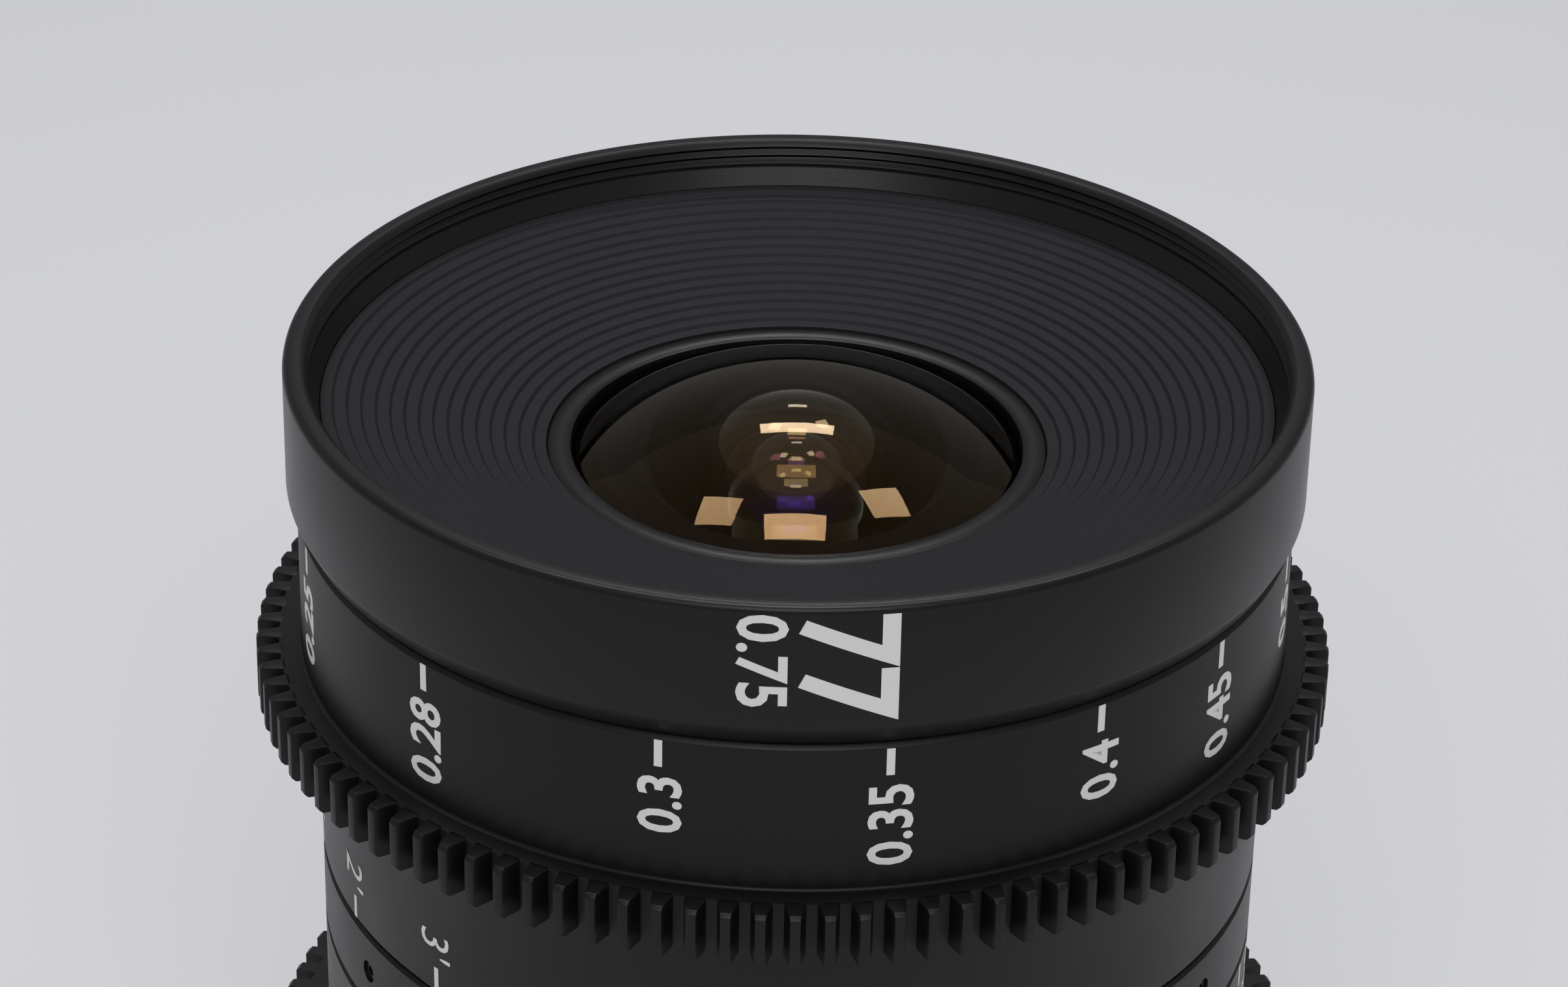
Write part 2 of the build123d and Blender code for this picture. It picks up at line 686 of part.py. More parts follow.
def focus_carrier():
    """The sliding carrier: two lands on the tube, a web and the cell of its elements."""
    land_r = tube_bore_r - running_gap
    relief_r = land_r - carrier_relief
    top = z_carrier + carrier_h
    inner = land_r - carrier_wall
    cell_bore = focus_edge_r + seat_gap
    cell_r = cell_bore + focus_cell_wall
    seat = z_carrier + focus_seat_rise
    web = z_follower - carrier_web_t / 2
    thread = cell_bore + spacer_wall
    z_thread = z_lens_4_front
    body = turned(
        (cell_bore - focus_seat_w, seat - focus_seat_t), (cell_r, seat - focus_seat_t), (cell_r, web),
        (inner, web), (inner, z_carrier), (land_r, z_carrier), (land_r, z_carrier + carrier_land_h),
        (relief_r, z_carrier + carrier_land_h), (relief_r, top - carrier_land_h),
        (land_r, top - carrier_land_h), (land_r, top), (inner, top), (inner, web + carrier_web_t),
        (cell_r, web + carrier_web_t), (cell_r, z_thread + focus_retainer_h),
        (thread, z_thread + focus_retainer_h), (thread, z_thread), (cell_bore, z_thread),
        (cell_bore, seat), (cell_bore - focus_seat_w, seat))
    body -= radial(follower_r + seat_gap, inner - overrun, land_r + overrun, cam_angle, z_follower)
    for angle in guide_key_angles:
        body -= radial(guide_screw_r + seat_gap, inner - overrun, land_r + overrun, angle, z_follower)
    return body


def focus_group():
    """The sliding elements, their rings, the cam follower and the guide keys."""
    land_r = tube_bore_r - running_gap
    key_seat = land_r - carrier_relief + seat_gap
    keys = []
    key_screws = []
    for angle in guide_key_angles:
        key = radial_block(2 * roller_r, key_seat, tube_r - guide_margin, z_follower - guide_key_h / 2,
                           z_follower + guide_key_h / 2, angle)
        hole = radial(guide_screw_r + seat_gap, key_seat - overrun, tube_r, angle, z_follower)
        head = radial(guide_screw_head_r + seat_gap, tube_r - guide_margin - guide_screw_depth, tube_r,
                      angle, z_follower)
        keys.append(key - hole - head)
        screw_top = tube_r - guide_margin - running_gap
        key_screws.append(
            radial(guide_screw_r, key_seat - follower_grip, screw_top, angle, z_follower)
            + grub_screw(guide_screw_head_r, tube_r - guide_margin - guide_screw_depth + seat_gap,
                         screw_top, angle, z_follower))
    follower = radial(follower_r, key_seat - follower_grip, cam_r - running_gap, cam_angle, z_follower)
    roller = (radial(roller_r, tube_bore_r + running_gap, cam_r - 2 * running_gap, cam_angle, z_follower)
              - radial(follower_r + seat_gap, key_seat, cam_r + overrun, cam_angle, z_follower))
    spacer_low = z_lens_6 + lens_6_edge_t
    return {
        "lens_6": element(z_lens_6, lens_6_edge_t, focus_edge_r, lens_6_front_rc, focus_clear_r,
                          lens_6_rear_rc, focus_edge_r - focus_seat_w),
        "focus_spacer": ring(focus_edge_r, focus_edge_r - spacer_wall, spacer_low + seat_gap,
                             z_lens_5 - seat_gap),
        "lens_5": element(z_lens_5, lens_5_edge_t, focus_edge_r, lens_45_rc, focus_clear_r,
                          lens_5_rear_rc, focus_clear_r),
        "lens_4": element(z_lens_4, lens_4_edge_t, focus_edge_r, lens_4_front_rc, focus_clear_r,
                          lens_45_rc, focus_clear_r),
        "focus_retainer": ring(focus_edge_r + spacer_wall, focus_clear_r, z_lens_4_front + seat_gap,
                               z_lens_4_front + focus_retainer_h),
        "cam_follower": follower,
        "cam_follower_roller": roller,
        "guide_keys": group(keys),
        "guide_key_screws": group(key_screws),
    }


def thrust_washers():
    """Thin slip rings at the seams of the turning rings."""
    inner = cam_r + seam_gap
    outer = feet_band_r - 2 * edge_chamfer
    front_outer = metric_band_r - 2 * edge_chamfer
    return {
        "front_thrust_washer": ring(front_outer, inner, z_front_bottom - washer_t, z_front_bottom),
        "rear_thrust_washer": ring(outer, inner, z_index_top, z_index_top + washer_t),
        "iris_washers": group([
            ring(outer, inner, z_index_bottom - washer_t, z_index_bottom),
            ring(rear_top_r - edge_chamfer, tube_r + 2 * running_gap, z_rear_top, z_rear_top + washer_t)]),
    }


def index_ring():
    """The fixed ring between the two turning ones, with its screws and witness marks."""
    body = turned(
        (seat_on_tube_r, z_index_bottom), (feet_band_r - edge_chamfer, z_index_bottom),
        (feet_band_r, z_index_bottom + edge_chamfer), (feet_band_r, z_index_top - edge_chamfer),
        (feet_band_r - edge_chamfer, z_index_top), (seat_on_tube_r, z_index_top))
    middle = (z_index_bottom + z_index_top) / 2
    screws = []
    for angle in spread(grub_count, grub_angle):
        body -= radial(grub_r + seat_gap, tube_r - overrun, feet_band_r + overrun, angle, middle)
        screws.append(grub_screw(grub_r, seat_on_tube_r, feet_band_r - edge_chamfer, angle, middle))
    mark_shell = ring(feet_band_r, feet_band_r - mark_depth, z_index_bottom + mark_margin,
                      z_index_top - mark_margin)
    marks = []
    for angle in mark_angles:
        bar = radial_block(mark_w, feet_band_r - overrun, feet_band_r + overrun, z_index_bottom,
                           z_index_top, angle)
        mark = mark_shell & bar
        body -= mark
        marks.append(mark)
    return {"index_ring": body, "index_ring_screws": group(screws), "index_marks": group(marks)}


def closing_angle():
    """How far a blade pivots between the open and the smallest stop."""
    moved = iris_open_r * (1 - stopped_down_share)
    return 2 * math.degrees(math.asin(moved / (2 * blade_pivot_r)))


def blade(index):
    """One iris blade on its own layer, with its pivot pin below and its drive pin above."""
    pivot = blade_first_angle + 360.0 * index / blade_count
    low = z_blades + index * blade_pitch
    high = low + blade_t
    leaf = sector(iris_open_r, blade_outer_r, low, high, pivot - blade_span, pivot + blade_heel)
    for angle in (pivot, pivot - blade_lead):
        leaf += upright(blade_ear_r, low, high, blade_pivot_r, angle)
    leaf += upright(blade_pin_r, z_iris_unit + actuator_air, high, blade_pivot_r, pivot)
    leaf += upright(blade_pin_r, low, z_actuator + actuator_t - actuator_air, blade_pivot_r,
                    pivot - blade_lead)
    return leaf


def drive_slot_points():
    """Where a blade's drive pin runs, seen from the turning ring."""
    pivot = Vector(*polar(blade_pivot_r, 0.0))
    start = Vector(*polar(blade_pivot_r, -blade_lead)) - pivot
    points = []
    for step in range(slot_samples):
        part = step / (slot_samples - 1)
        pin = pivot + start.rotate(Axis.Z, -closing_angle() * part)
        points.append(pin.rotate(Axis.Z, iris_throw * part))
    return points


def iris_unit():
    """Floor, turning ring, cover and screws of the iris."""
    floor_top = z_iris_unit + iris_floor_t
    rim_r = tube_bore_r - seat_gap
    wall_r = iris_wall_r + iris_wall_t
    rim_in = rim_r - iris_rim_w
    open_r = iris_open_r * iris_floor_open_share
    housing = turned(
        (open_r, z_iris_unit), (rim_r, z_iris_unit), (rim_r, z_iris_unit + iris_rim_h),
        (rim_in, z_iris_unit + iris_rim_h), (rim_in, floor_top), (wall_r, floor_top),
        (wall_r, z_cover), (iris_wall_r, z_cover), (iris_wall_r, floor_top), (open_r, floor_top))
    cover = ring(wall_r - seat_gap, iris_wall_r - cover_overlap, z_cover, z_cover + cover_t)
    slots = []
    points = drive_slot_points()
    slot_r = blade_pin_r + 2 * running_gap
    for angle in spread(blade_count, blade_first_angle):
        housing -= upright(blade_pin_r + running_gap, z_iris_unit - overrun, floor_top + overrun,
                           blade_pivot_r, angle)
        path = Spline(*points)
        trough = extrude(trace(path, 2 * slot_r), actuator_t + 2 * overrun, dir=(0, 0, 1))
        trough = Location((0, 0, z_actuator - overrun)) * trough
        for end in (points[0], points[-1]):
            trough += Location((end.X, end.Y, 0)) * upright(slot_r, z_actuator - overrun,
                                                            z_actuator + actuator_t + overrun)
        slots.append(Location((0, 0, 0), (0, 0, angle)) * trough)
    actuator = ring(iris_wall_r - running_gap, actuator_inner_r, z_actuator, z_actuator + actuator_t)
    for slot in slots:
        actuator -= slot
    post_out = math.sqrt((iris_wall_r - cover_overlap - 2 * running_gap) ** 2 - (arm_w / 2) ** 2)
    post_in = post_out - arm_post_w
    arm_out = tube_bore_r - arm_tube_air
    actuator += radial_block(arm_w, post_in, post_out, z_actuator + actuator_t, z_arm + arm_t, arm_angle)
    actuator += radial_block(arm_w, post_in, arm_out, z_arm, z_arm + arm_t, arm_angle)
    actuator += radial_block(arm_w, arm_out - arm_boss_w, arm_out, z_arm, z_arm + arm_boss_h, arm_angle)
    actuator -= radial(drive_screw_r + seat_gap, arm_out - arm_boss_w - overrun, tube_r, arm_angle,
                       z_drive_screw)
    cover_screws = []
    screw_place = iris_wall_r + iris_wall_t / 2
    for angle in spread(cover_screw_count, cover_screw_angle):
        housing -= upright(cover_screw_r + seat_gap, z_cover - cover_screw_grip, z_cover + overrun,
                           screw_place, angle)
        cover -= upright(cover_screw_r + seat_gap, z_cover - overrun, z_cover + cover_t + overrun,
                         screw_place, angle)
        cover_screws.append(upright(cover_screw_r, z_cover - cover_screw_grip + seat_gap, z_cover + cover_t,
                                    screw_place, angle))
    screws = []
    for angle in spread(housing_screw_count, housing_screw_angle):
        housing -= radial(housing_screw_r + seat_gap, rim_r - housing_screw_grip, tube_r, angle,
                          z_housing_screw)
        screws.append(grub_screw(housing_screw_r, rim_r - housing_screw_grip + seat_gap,
                                 tube_r - 2 * running_gap, angle, z_housing_screw))
    return {"iris_housing": housing, "iris_cover_ring": cover, "iris_actuator": actuator,
            "iris_cover_screws": group(cover_screws), "iris_housing_screws": group(screws)}


def iris_ring():
    """The aperture ring: scale band, gear and tail, and the screw that drives the iris."""
    fillet = gear_root_fillet
    corner = (feet_band_r + fillet * (1 - math.sqrt(0.5)), z_iris_band + fillet * (1 - math.sqrt(0.5)))
    relief_r = cam_bore_r + iris_relief
    tail_r = feet_band_r - iris_tail_step
    body = turned(
        (cam_bore_r, z_iris_bottom), (tail_r - edge_chamfer, z_iris_bottom),
        (tail_r, z_iris_bottom + edge_chamfer), (tail_r, z_iris_gear), (gear_root_r, z_iris_gear),
        (gear_root_r, z_iris_band), (feet_band_r + fillet, z_iris_band),
        (corner, (feet_band_r, z_iris_band + fillet)), (feet_band_r, z_iris_top - edge_chamfer),
        (feet_band_r - edge_chamfer, z_iris_top), (cam_bore_r, z_iris_top),
        (cam_bore_r, z_iris_top - iris_land_h), (relief_r, z_iris_top - iris_land_h),
        (relief_r, z_iris_bottom + iris_land_h), (cam_bore_r, z_iris_bottom + iris_land_h))
    body += gear_band(z_iris_gear)
    body -= radial(drive_screw_r + seat_gap, tube_r - overrun, feet_band_r + overrun, arm_angle,
                   z_drive_screw)
    screw = grub_screw(drive_screw_r, tube_bore_r - arm_tube_air - arm_boss_w + seat_gap,
                       feet_band_r - drive_screw_recess, arm_angle, z_drive_screw)
    return {"iris_ring": body, "iris_drive_screw": screw}


def rear_group():
    """The rear cell and its four elements, spacers, retainer and light shield."""
    bore = rear_edge_r + seat_gap
    bore_10 = lens_10_edge_r + seat_gap
    z_7 = rear_seat_z - lens_7_edge_t
    z_8 = z_7 - cement_gap - lens_8_edge_t
    z_9_front = z_8 - rear_spacer_front_h
    z_9 = z_9_front - lens_9_edge_t
    z_10_front = z_9 - rear_spacer_back_h
    z_10 = z_10_front - lens_10_edge_t
    z_retainer = z_10 - rear_retainer_h
    thread = bore_10 + rear_retainer_wall
    bottom = -rear_cell_drop
    flange_r = tube_bore_r - rear_flange_margin
    flange_top = z_tube_bottom + rear_flange_t
    top_r = bore + rear_top_wall
    cell = turned(
        (bore - rear_seat_w, rear_seat_z), (bore - rear_seat_w, rear_seat_z + rear_seat_t),
        (top_r, rear_seat_z + rear_seat_t), (top_r, flange_top), (flange_r, flange_top),
        (flange_r, z_tube_bottom), (rear_cell_r, z_tube_bottom), (rear_cell_r, bottom),
        (thread + rear_cell_mouth, bottom), (thread, z_retainer), (thread, z_10), (bore_10, z_10),
        (bore_10, z_10_front), (bore, z_10_front), (bore, rear_seat_z))
    screws = []
    screw_place = flange_r - rear_flange_screw_inset
    for angle in spread(rear_flange_screw_count, rear_flange_screw_angle):
        cell -= upright(rear_flange_screw_r + running_gap, z_tube_bottom - overrun, flange_top + overrun,
                        screw_place, angle)
        screws.append(socket_screw(rear_flange_screw_r, rear_flange_screw_head_r, rear_flange_screw_head_h,
                                   z_rear_bottom + seat_gap, flange_top, screw_place, angle))
    shield_r = rear_cell_r + seat_gap
    shield = turned(
        (0.0, -rear_shield_h), (shield_r + rear_shield_wall - edge_chamfer, -rear_shield_h),
        (shield_r + rear_shield_wall, -rear_shield_h + edge_chamfer), (shield_r + rear_shield_wall, 0.0),
        (shield_r, 0.0), (shield_r, -rear_shield_h + rear_shield_t), (0.0, -rear_shield_h + rear_shield_t))
    shield -= Location((0, 0, -rear_shield_h)) * Box(rear_mask_w, rear_mask_h, 2 * rear_shield_t + overrun)
    return {
        "rear_cell": cell,
        "rear_cell_screws": group(screws),
        "lens_7": element(z_7, lens_7_edge_t, rear_edge_r, lens_7_front_rc, rear_edge_r - rear_seat_w,
                          lens_78_rc, rear_clear_r),
        "lens_8": element(z_8, lens_8_edge_t, rear_edge_r, lens_78_rc, rear_clear_r,
                          lens_8_rear_rc, rear_clear_r),
        "rear_spacer_front": ring(rear_edge_r, rear_edge_r - spacer_wall, z_9_front + seat_gap,
                                  z_8 - seat_gap),
        "lens_9": element(z_9, lens_9_edge_t, rear_edge_r, lens_9_rc, rear_clear_r, -lens_9_rc, rear_clear_r),
        "rear_spacer_back": ring(rear_edge_r, rear_edge_r - spacer_wall, z_10_front + seat_gap,
                                 z_9 - seat_gap),
        "lens_10": element(z_10, lens_10_edge_t, lens_10_edge_r, lens_10_front_rc, rear_clear_r,
                           lens_10_rear_rc, lens_10_clear_r),
        "rear_retainer": ring(thread - seat_gap, lens_10_clear_r, z_retainer, z_10 - seat_gap),
        "rear_shield": shield,
    }


def rear_barrel():
    """The tapered rear barrel, its set screws and the red dot that lines the mount up."""
    web_in = rear_cell_r + rear_web_air
    body = turned(
        (web_in, z_rear_bottom), (rear_bottom_r, z_rear_bottom), (rear_top_r, z_rear_top - edge_chamfer),
        (rear_top_r - edge_chamfer, z_rear_top), (seat_on_tube_r, z_rear_top),
        (seat_on_tube_r, z_tube_bottom), (web_in, z_tube_bottom))
    z_screw = (z_tube_bottom + z_rear_top) / 2
    face_r = rear_bottom_r + (rear_top_r - rear_bottom_r) * (z_screw - z_rear_bottom) / rear_barrel_h
    screws = []
    for angle in spread(barrel_grub_count, barrel_grub_angle):
        body -= radial(grub_r + seat_gap, tube_r - overrun, rear_top_r + overrun, angle, z_screw)
        screws.append(grub_screw(grub_r, seat_on_tube_r, face_r - barrel_grub_recess, angle, z_screw))
    for angle in spread(mount_screw_count, mount_screw_angle):
        body -= upright(mount_screw_r + seat_gap, z_rear_bottom - overrun, z_tube_bottom + overrun,
                        mount_screw_ring_r, angle)
    for angle in spread(rear_flange_screw_count, rear_flange_screw_angle):
        place = tube_bore_r - rear_flange_margin - rear_flange_screw_inset
        body -= upright(rear_flange_screw_r + seat_gap, z_rear_bottom - overrun, z_tube_bottom + overrun,
                        place, angle)
    body -= radial(index_dot_r + seat_gap, face_r - index_dot_depth, face_r + overrun, index_dot_angle,
                   z_screw)
    dot = radial(index_dot_r, face_r - index_dot_depth + seat_gap, face_r, index_dot_angle, z_screw)
    dome = Location(polar(face_r, index_dot_angle, z_screw)) * Sphere(index_dot_r)
    dome = dome & radial(index_dot_r, face_r, face_r + index_dot_proud, index_dot_angle, z_screw)
    return {"rear_barrel": body, "rear_barrel_screws": group(screws), "mount_index_dot": dot + dome}


def mount():
    """The bayonet plate with its spigot and lugs, the shim and the screws."""
    inner = spigot_r - spigot_wall
    plate = turned(
        (inner, -spigot_h), (spigot_r - edge_chamfer, -spigot_h), (spigot_r, edge_chamfer - spigot_h),
        (spigot_r, 0.0), (mount_plate_r - edge_chamfer, 0.0), (mount_plate_r, edge_chamfer),
        (mount_plate_r, mount_plate_t), (inner, mount_plate_t))
    for angle in spread(lug_count, lug_first_angle):
        plate += sector(inner, spigot_r + lug_step, -spigot_h, lug_t - spigot_h,
                        angle - lug_arc / 2, angle + lug_arc / 2)
    shim = ring(mount_plate_r - shim_margin, inner + shim_margin, mount_plate_t, z_rear_bottom)
    plate -= upright(lock_hole_r, -overrun, mount_plate_t + overrun, mount_screw_ring_r, lock_hole_angle)
    screws = []
    for angle in spread(mount_screw_count, mount_screw_angle):
        place = polar(mount_screw_ring_r, angle, mount_screw_sink)
        head = Cone(mount_screw_head_r, mount_screw_r, mount_screw_head_h,
                    align=(Align.CENTER, Align.CENTER, Align.MIN))
        head_seat = Cone(mount_screw_head_r + seat_gap, mount_screw_r + seat_gap, mount_screw_head_h,
                         align=(Align.CENTER, Align.CENTER, Align.MIN))
        plate -= Location(place) * head_seat
        plate -= upright(mount_screw_head_r + seat_gap, -overrun, mount_screw_sink, mount_screw_ring_r, angle)
        plate -= upright(mount_screw_r + seat_gap, 0.0, mount_plate_t + overrun, mount_screw_ring_r, angle)
        shim -= upright(mount_screw_r + running_gap, 0.0, z_rear_bottom + overrun, mount_screw_ring_r, angle)
        screw = Location(place) * head + upright(mount_screw_r, mount_screw_sink, z_tube_bottom - seat_gap,
                                                 mount_screw_ring_r, angle)
        cross = Location(place) * Box(mount_screw_r * 2, mount_screw_r * socket_share, mount_screw_head_h)
        screws.append(screw - cross - Location(place) * Box(mount_screw_r * socket_share, mount_screw_r * 2,
                                                            mount_screw_head_h))
    return {"mount_plate": plate, "mount_shim": shim, "mount_screws": group(screws)}


def lens():
    """Every piece of the lens by name."""
    pieces = {"front_ring": front_ring(), "front_baffle": front_baffle(), "front_cell": front_cell(),
              "main_tube": main_tube(), "focus_ring": focus_ring(), "cam_sleeve": cam_sleeve(),
              "focus_carrier": focus_carrier()}
    for section in (front_group, focus_drive, focus_group, thrust_washers, index_ring, iris_unit,
                    iris_ring, rear_group, rear_barrel, mount):
        pieces.update(section())
    for index in range(blade_count):
        pieces["iris_blade_" + str(index + 1)] = blade(index)
    return pieces


os.makedirs("parts", exist_ok=True)
for name, piece in lens().items():
    export_step(piece, os.path.join("parts", name + ".step"))
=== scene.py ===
import json
import math

import bpy
from mathutils import Matrix, Vector


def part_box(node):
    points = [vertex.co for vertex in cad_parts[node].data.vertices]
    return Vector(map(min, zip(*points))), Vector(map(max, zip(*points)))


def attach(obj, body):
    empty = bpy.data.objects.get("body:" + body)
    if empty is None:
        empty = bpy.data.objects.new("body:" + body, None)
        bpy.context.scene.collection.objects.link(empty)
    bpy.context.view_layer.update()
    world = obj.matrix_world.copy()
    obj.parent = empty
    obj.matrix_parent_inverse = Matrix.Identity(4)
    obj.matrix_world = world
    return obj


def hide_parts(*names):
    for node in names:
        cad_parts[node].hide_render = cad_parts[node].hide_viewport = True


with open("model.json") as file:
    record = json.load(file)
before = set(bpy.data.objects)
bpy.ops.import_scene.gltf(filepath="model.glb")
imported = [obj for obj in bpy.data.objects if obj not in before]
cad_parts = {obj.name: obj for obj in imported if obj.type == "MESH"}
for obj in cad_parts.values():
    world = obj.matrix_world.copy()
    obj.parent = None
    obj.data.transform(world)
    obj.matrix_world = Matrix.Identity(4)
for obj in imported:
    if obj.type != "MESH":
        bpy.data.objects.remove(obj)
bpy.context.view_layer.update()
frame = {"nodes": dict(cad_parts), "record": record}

bl_info = {
    "name": "Cinema prime lens",
    "version": (1, 0, 0),
    "blender": (4, 5, 0),
    "location": "View3D > Sidebar > Lens",
    "description": "Dresses the packed cinema prime lens with its visible rings, glass, scales and finishes",
    "category": "Add Mesh",
}

MM = 0.001
HALF_TURN = math.pi
# A ring wave of scale one repeats over this length
WAVE_LENGTH = HALF_TURN / 10

# Steps of a spun section, of a rounding, of a swollen face and of a glass surface
RING_STEPS = 256
RETAINER_STEPS = 192
GLASS_STEPS = 128
ROUND_STEPS = 4
CROWN_STEPS = 8
SURFACE_STEPS = 24
# Points nearer than this become one, while a section is drawn and once it is spun
FINE_MERGE = 0.0005 * MM
MERGE = 0.002 * MM
# Faces that meet at less than this many degrees look smooth
SMOOTH_ANGLE = 28

# Heights and radii that the packed frame gives
RIM_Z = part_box("front_ring")[1].z
FRONT_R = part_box("front_ring")[1].x
BAFFLE_LOW, BAFFLE_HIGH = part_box("front_baffle")
RETAINER_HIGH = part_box("front_retainer")[1]
FOCUS_LOW, FOCUS_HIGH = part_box("focus_ring")
IRIS_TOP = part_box("iris_ring")[1].z
LOWEST_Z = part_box("rear_shield")[0].z


def millimetres(name, default, description):
    """A length property with its default in millimetres."""
    return bpy.props.FloatProperty(name=name, description=description, default=default * MM, unit="LENGTH",
                                   precision=5)


def proportion(name, default, description):
    """A share of something, from nothing to all of it."""
    return bpy.props.FloatProperty(name=name, description=description, default=default, subtype="FACTOR")


def hex_colour(name, default, description):
    """A colour property held as an sRGB hex value."""
    return bpy.props.StringProperty(name=name, description=description, default=default)


class LENS_PG_front(bpy.types.PropertyGroup):
    """Sizes of the front ring, the baffle and the retaining ring."""
    rim_wall: millimetres("Rim wall", 1.9, "From the outside of the ring to the crests of the filter thread")
    rim_fillet: millimetres("Rim fillet", 0.6, "Rounding of the outer front edge")
    thread_chamfer: millimetres("Thread lead-in", 0.5, "Chamfer in front of the filter thread")
    thread_pitch: millimetres("Thread pitch", 0.75, "Spacing of the filter thread's grooves")
    thread_depth: millimetres("Thread depth", 0.44, "Depth of the filter thread's grooves")
    filter_depth: millimetres("Filter depth", 2.3, "From the rim to the ledge behind the filter thread")
    ledge_step: millimetres("Ledge step", 0.9, "Width of the bright ledge behind the thread")
    ledge_drop: millimetres("Ledge drop", 1.4, "Height of the bright ledge behind the thread")
    neck_r: millimetres("Neck radius", 35.45, "Outside of the neck behind the front ring")
    bore_r: millimetres("Bore radius", 33.52, "Inside of the neck, on the main tube")
    web_t: millimetres("Web", 2.75, "Thickness of the web that carries the baffle")
    neck_h: millimetres("Neck height", 3.85, "Length of the neck behind the front ring")
    taper_h: millimetres("Taper height", 1.75, "Height of the tapered rear edge")
    taper_step: millimetres("Taper step", 0.9, "How far the rear edge is drawn in")
    baffle_drop: millimetres("Baffle drop", 3.7, "From the rim to the outer edge of the baffle")
    baffle_floor: millimetres("Baffle floor", 8.1, "From the rim to the inner edge of the baffle")
    baffle_border: millimetres("Baffle border", 0.85, "Flat border outside the first step")
    baffle_inner_r: millimetres("Baffle inner radius", 19.65, "Radius of the baffle's hole")
    baffle_t: millimetres("Baffle thickness", 0.9, "Thickness of the baffle's cone")
    baffle_skirt: millimetres("Baffle skirt", 1.25, "Thickness of the baffle's skirt")
    baffle_edge: millimetres("Baffle edge", 0.056, "Rounding of the baffle's steps")
    baffle_steps: bpy.props.IntProperty(name="Baffle steps", default=15, description="Steps in the baffle")
    riser_lean: proportion("Riser lean", 0.18, "Share of a step that its riser takes")
    retainer_inner_r: millimetres("Retainer bore", 17.75, "Inside of the front glass's retaining ring")
    retainer_outer_r: millimetres("Retainer radius", 19.6, "Outside of the front glass's retaining ring")
    retainer_lip: millimetres("Retainer lip", 0.8, "Thickness of the retaining ring over the glass")
    retainer_h: millimetres("Retainer height", 2.1, "Height of the retaining ring's thread")
    retainer_wall: millimetres("Retainer wall", 0.8, "Wall of the retaining ring beside the glass")
    retainer_crown: millimetres("Retainer crown", 0.2, "How far the retaining ring's face swells")
    retainer_edge: millimetres("Retainer edge", 0.048, "Rounding of the retaining ring's edges")
    edge: millimetres("Broken edge", 0.08, "Rounding of the front ring's edges")


class LENS_PG_rings(bpy.types.PropertyGroup):
    """Sizes of the focus ring, of its gear and of the bands that carry the scales."""
    metric_r: millimetres("Metre band radius", 39.2, "Radius of the band with the metre scale")
    band_r: millimetres("Band radius", 38.0, "Radius of the feet, index and aperture bands")
    bore_r: millimetres("Focus bore", 35.5, "Inside of the focus ring")
    metric_h: millimetres("Metre band", 12.4, "Width of the band with the metre scale")
    gear_w: millimetres("Gear width", 4.4, "Width of the focus gear")
    gear_root_r: millimetres("Gear root", 41.0, "Radius at the foot of the teeth")
    gear_tip_r: millimetres("Gear tip", 42.8, "Radius at the tips of the teeth")
    gear_teeth: bpy.props.IntProperty(name="Teeth", default=105, description="Teeth on the focus gear")
    gear_corner: millimetres("Tooth corner", 0.3, "Chamfer at the ends of the teeth")
    tooth_root_share: proportion("Tooth root share", 0.66, "Share of the spacing that a tooth's foot takes")
    tooth_tip_share: proportion("Tooth tip share", 0.30, "Share of the spacing that a tooth's tip takes")
    root_fillet: millimetres("Gear fillet", 0.3, "Fillet between the metre band and the gear's face")
    chamfer: millimetres("Ring chamfer", 0.35, "Chamfer on the ring's edges")
    edge: millimetres("Broken edge", 0.06, "Rounding of the turned edges")


class LENS_PG_scales(bpy.types.PropertyGroup):
    """Sizes of the engraved and filled scales."""
    digit_h: millimetres("Digit height", 3.35, "Height of the scales' digits")
    dash_w: millimetres("Dash width", 0.62, "Width of the metre scale's dashes")
    feet_dash_w: millimetres("Feet dash width", 0.46, "Width of the feet and aperture dashes")
    metric_dash_h: millimetres("Metre dash", 2.25, "Length of the metre scale's dashes")
    feet_dash_h: millimetres("Feet dash", 2.0, "Length of the feet and aperture dashes")
    edge_gap: millimetres("Edge gap", 0.37, "From a band's edge to the dashes of its scale")
    text_gap: millimetres("Text gap", 0.85, "Between a dash and its digits")
    aperture_share: proportion("Aperture digits", 0.8, "Height of the aperture digits beside the others")
    number_drop: millimetres("Number drop", 0.64, "From the rim to the numbers on the front ring")
    paint_t: millimetres("Paint", 0.03, "How far the filled paint stands proud")
    big_digit_h: millimetres("Big digit height", 7.2, "Height of the large number on the front ring")
    small_digit_h: millimetres("Small digit height", 3.7, "Height of the small number on the front ring")


class LENS_PG_colours(bpy.types.PropertyGroup):
    """Colours of the finishes, as sRGB hex values."""
    anodised: hex_colour("Anodised black", "#0c0c0d", "Dye of the outer rings")
    baffle: hex_colour("Baffle black", "#17171a", "Matte black of the baffle")
    cavity: hex_colour("Cavity black", "#070708", "Black inside the cells")
    hard: hex_colour("Hard anodised", "#2c2d2f", "Grey black of the sliding parts")
    chrome: hex_colour("Chrome", "#cfd0d2", "Satin chrome of the mount")
    steel: hex_colour("Steel", "#b9babc", "Bright steel of the mount screws")
    black_steel: hex_colour("Black steel", "#1b1b1e", "Black oxide of the small screws and blades")
    brass: hex_colour("Brass", "#c9a35a", "Turned brass of the keys and roller")
    slip: hex_colour("Slip rings", "#d8d8d3", "White slip rings")
    white: hex_colour("White filling", "#e6e6e2", "Filled marks and digits")
    red: hex_colour("Red dot", "#b01511", "Bead that lines the mount up")
    floor: hex_colour("Floor", "#d9d9dc", "Studio floor and backdrop")


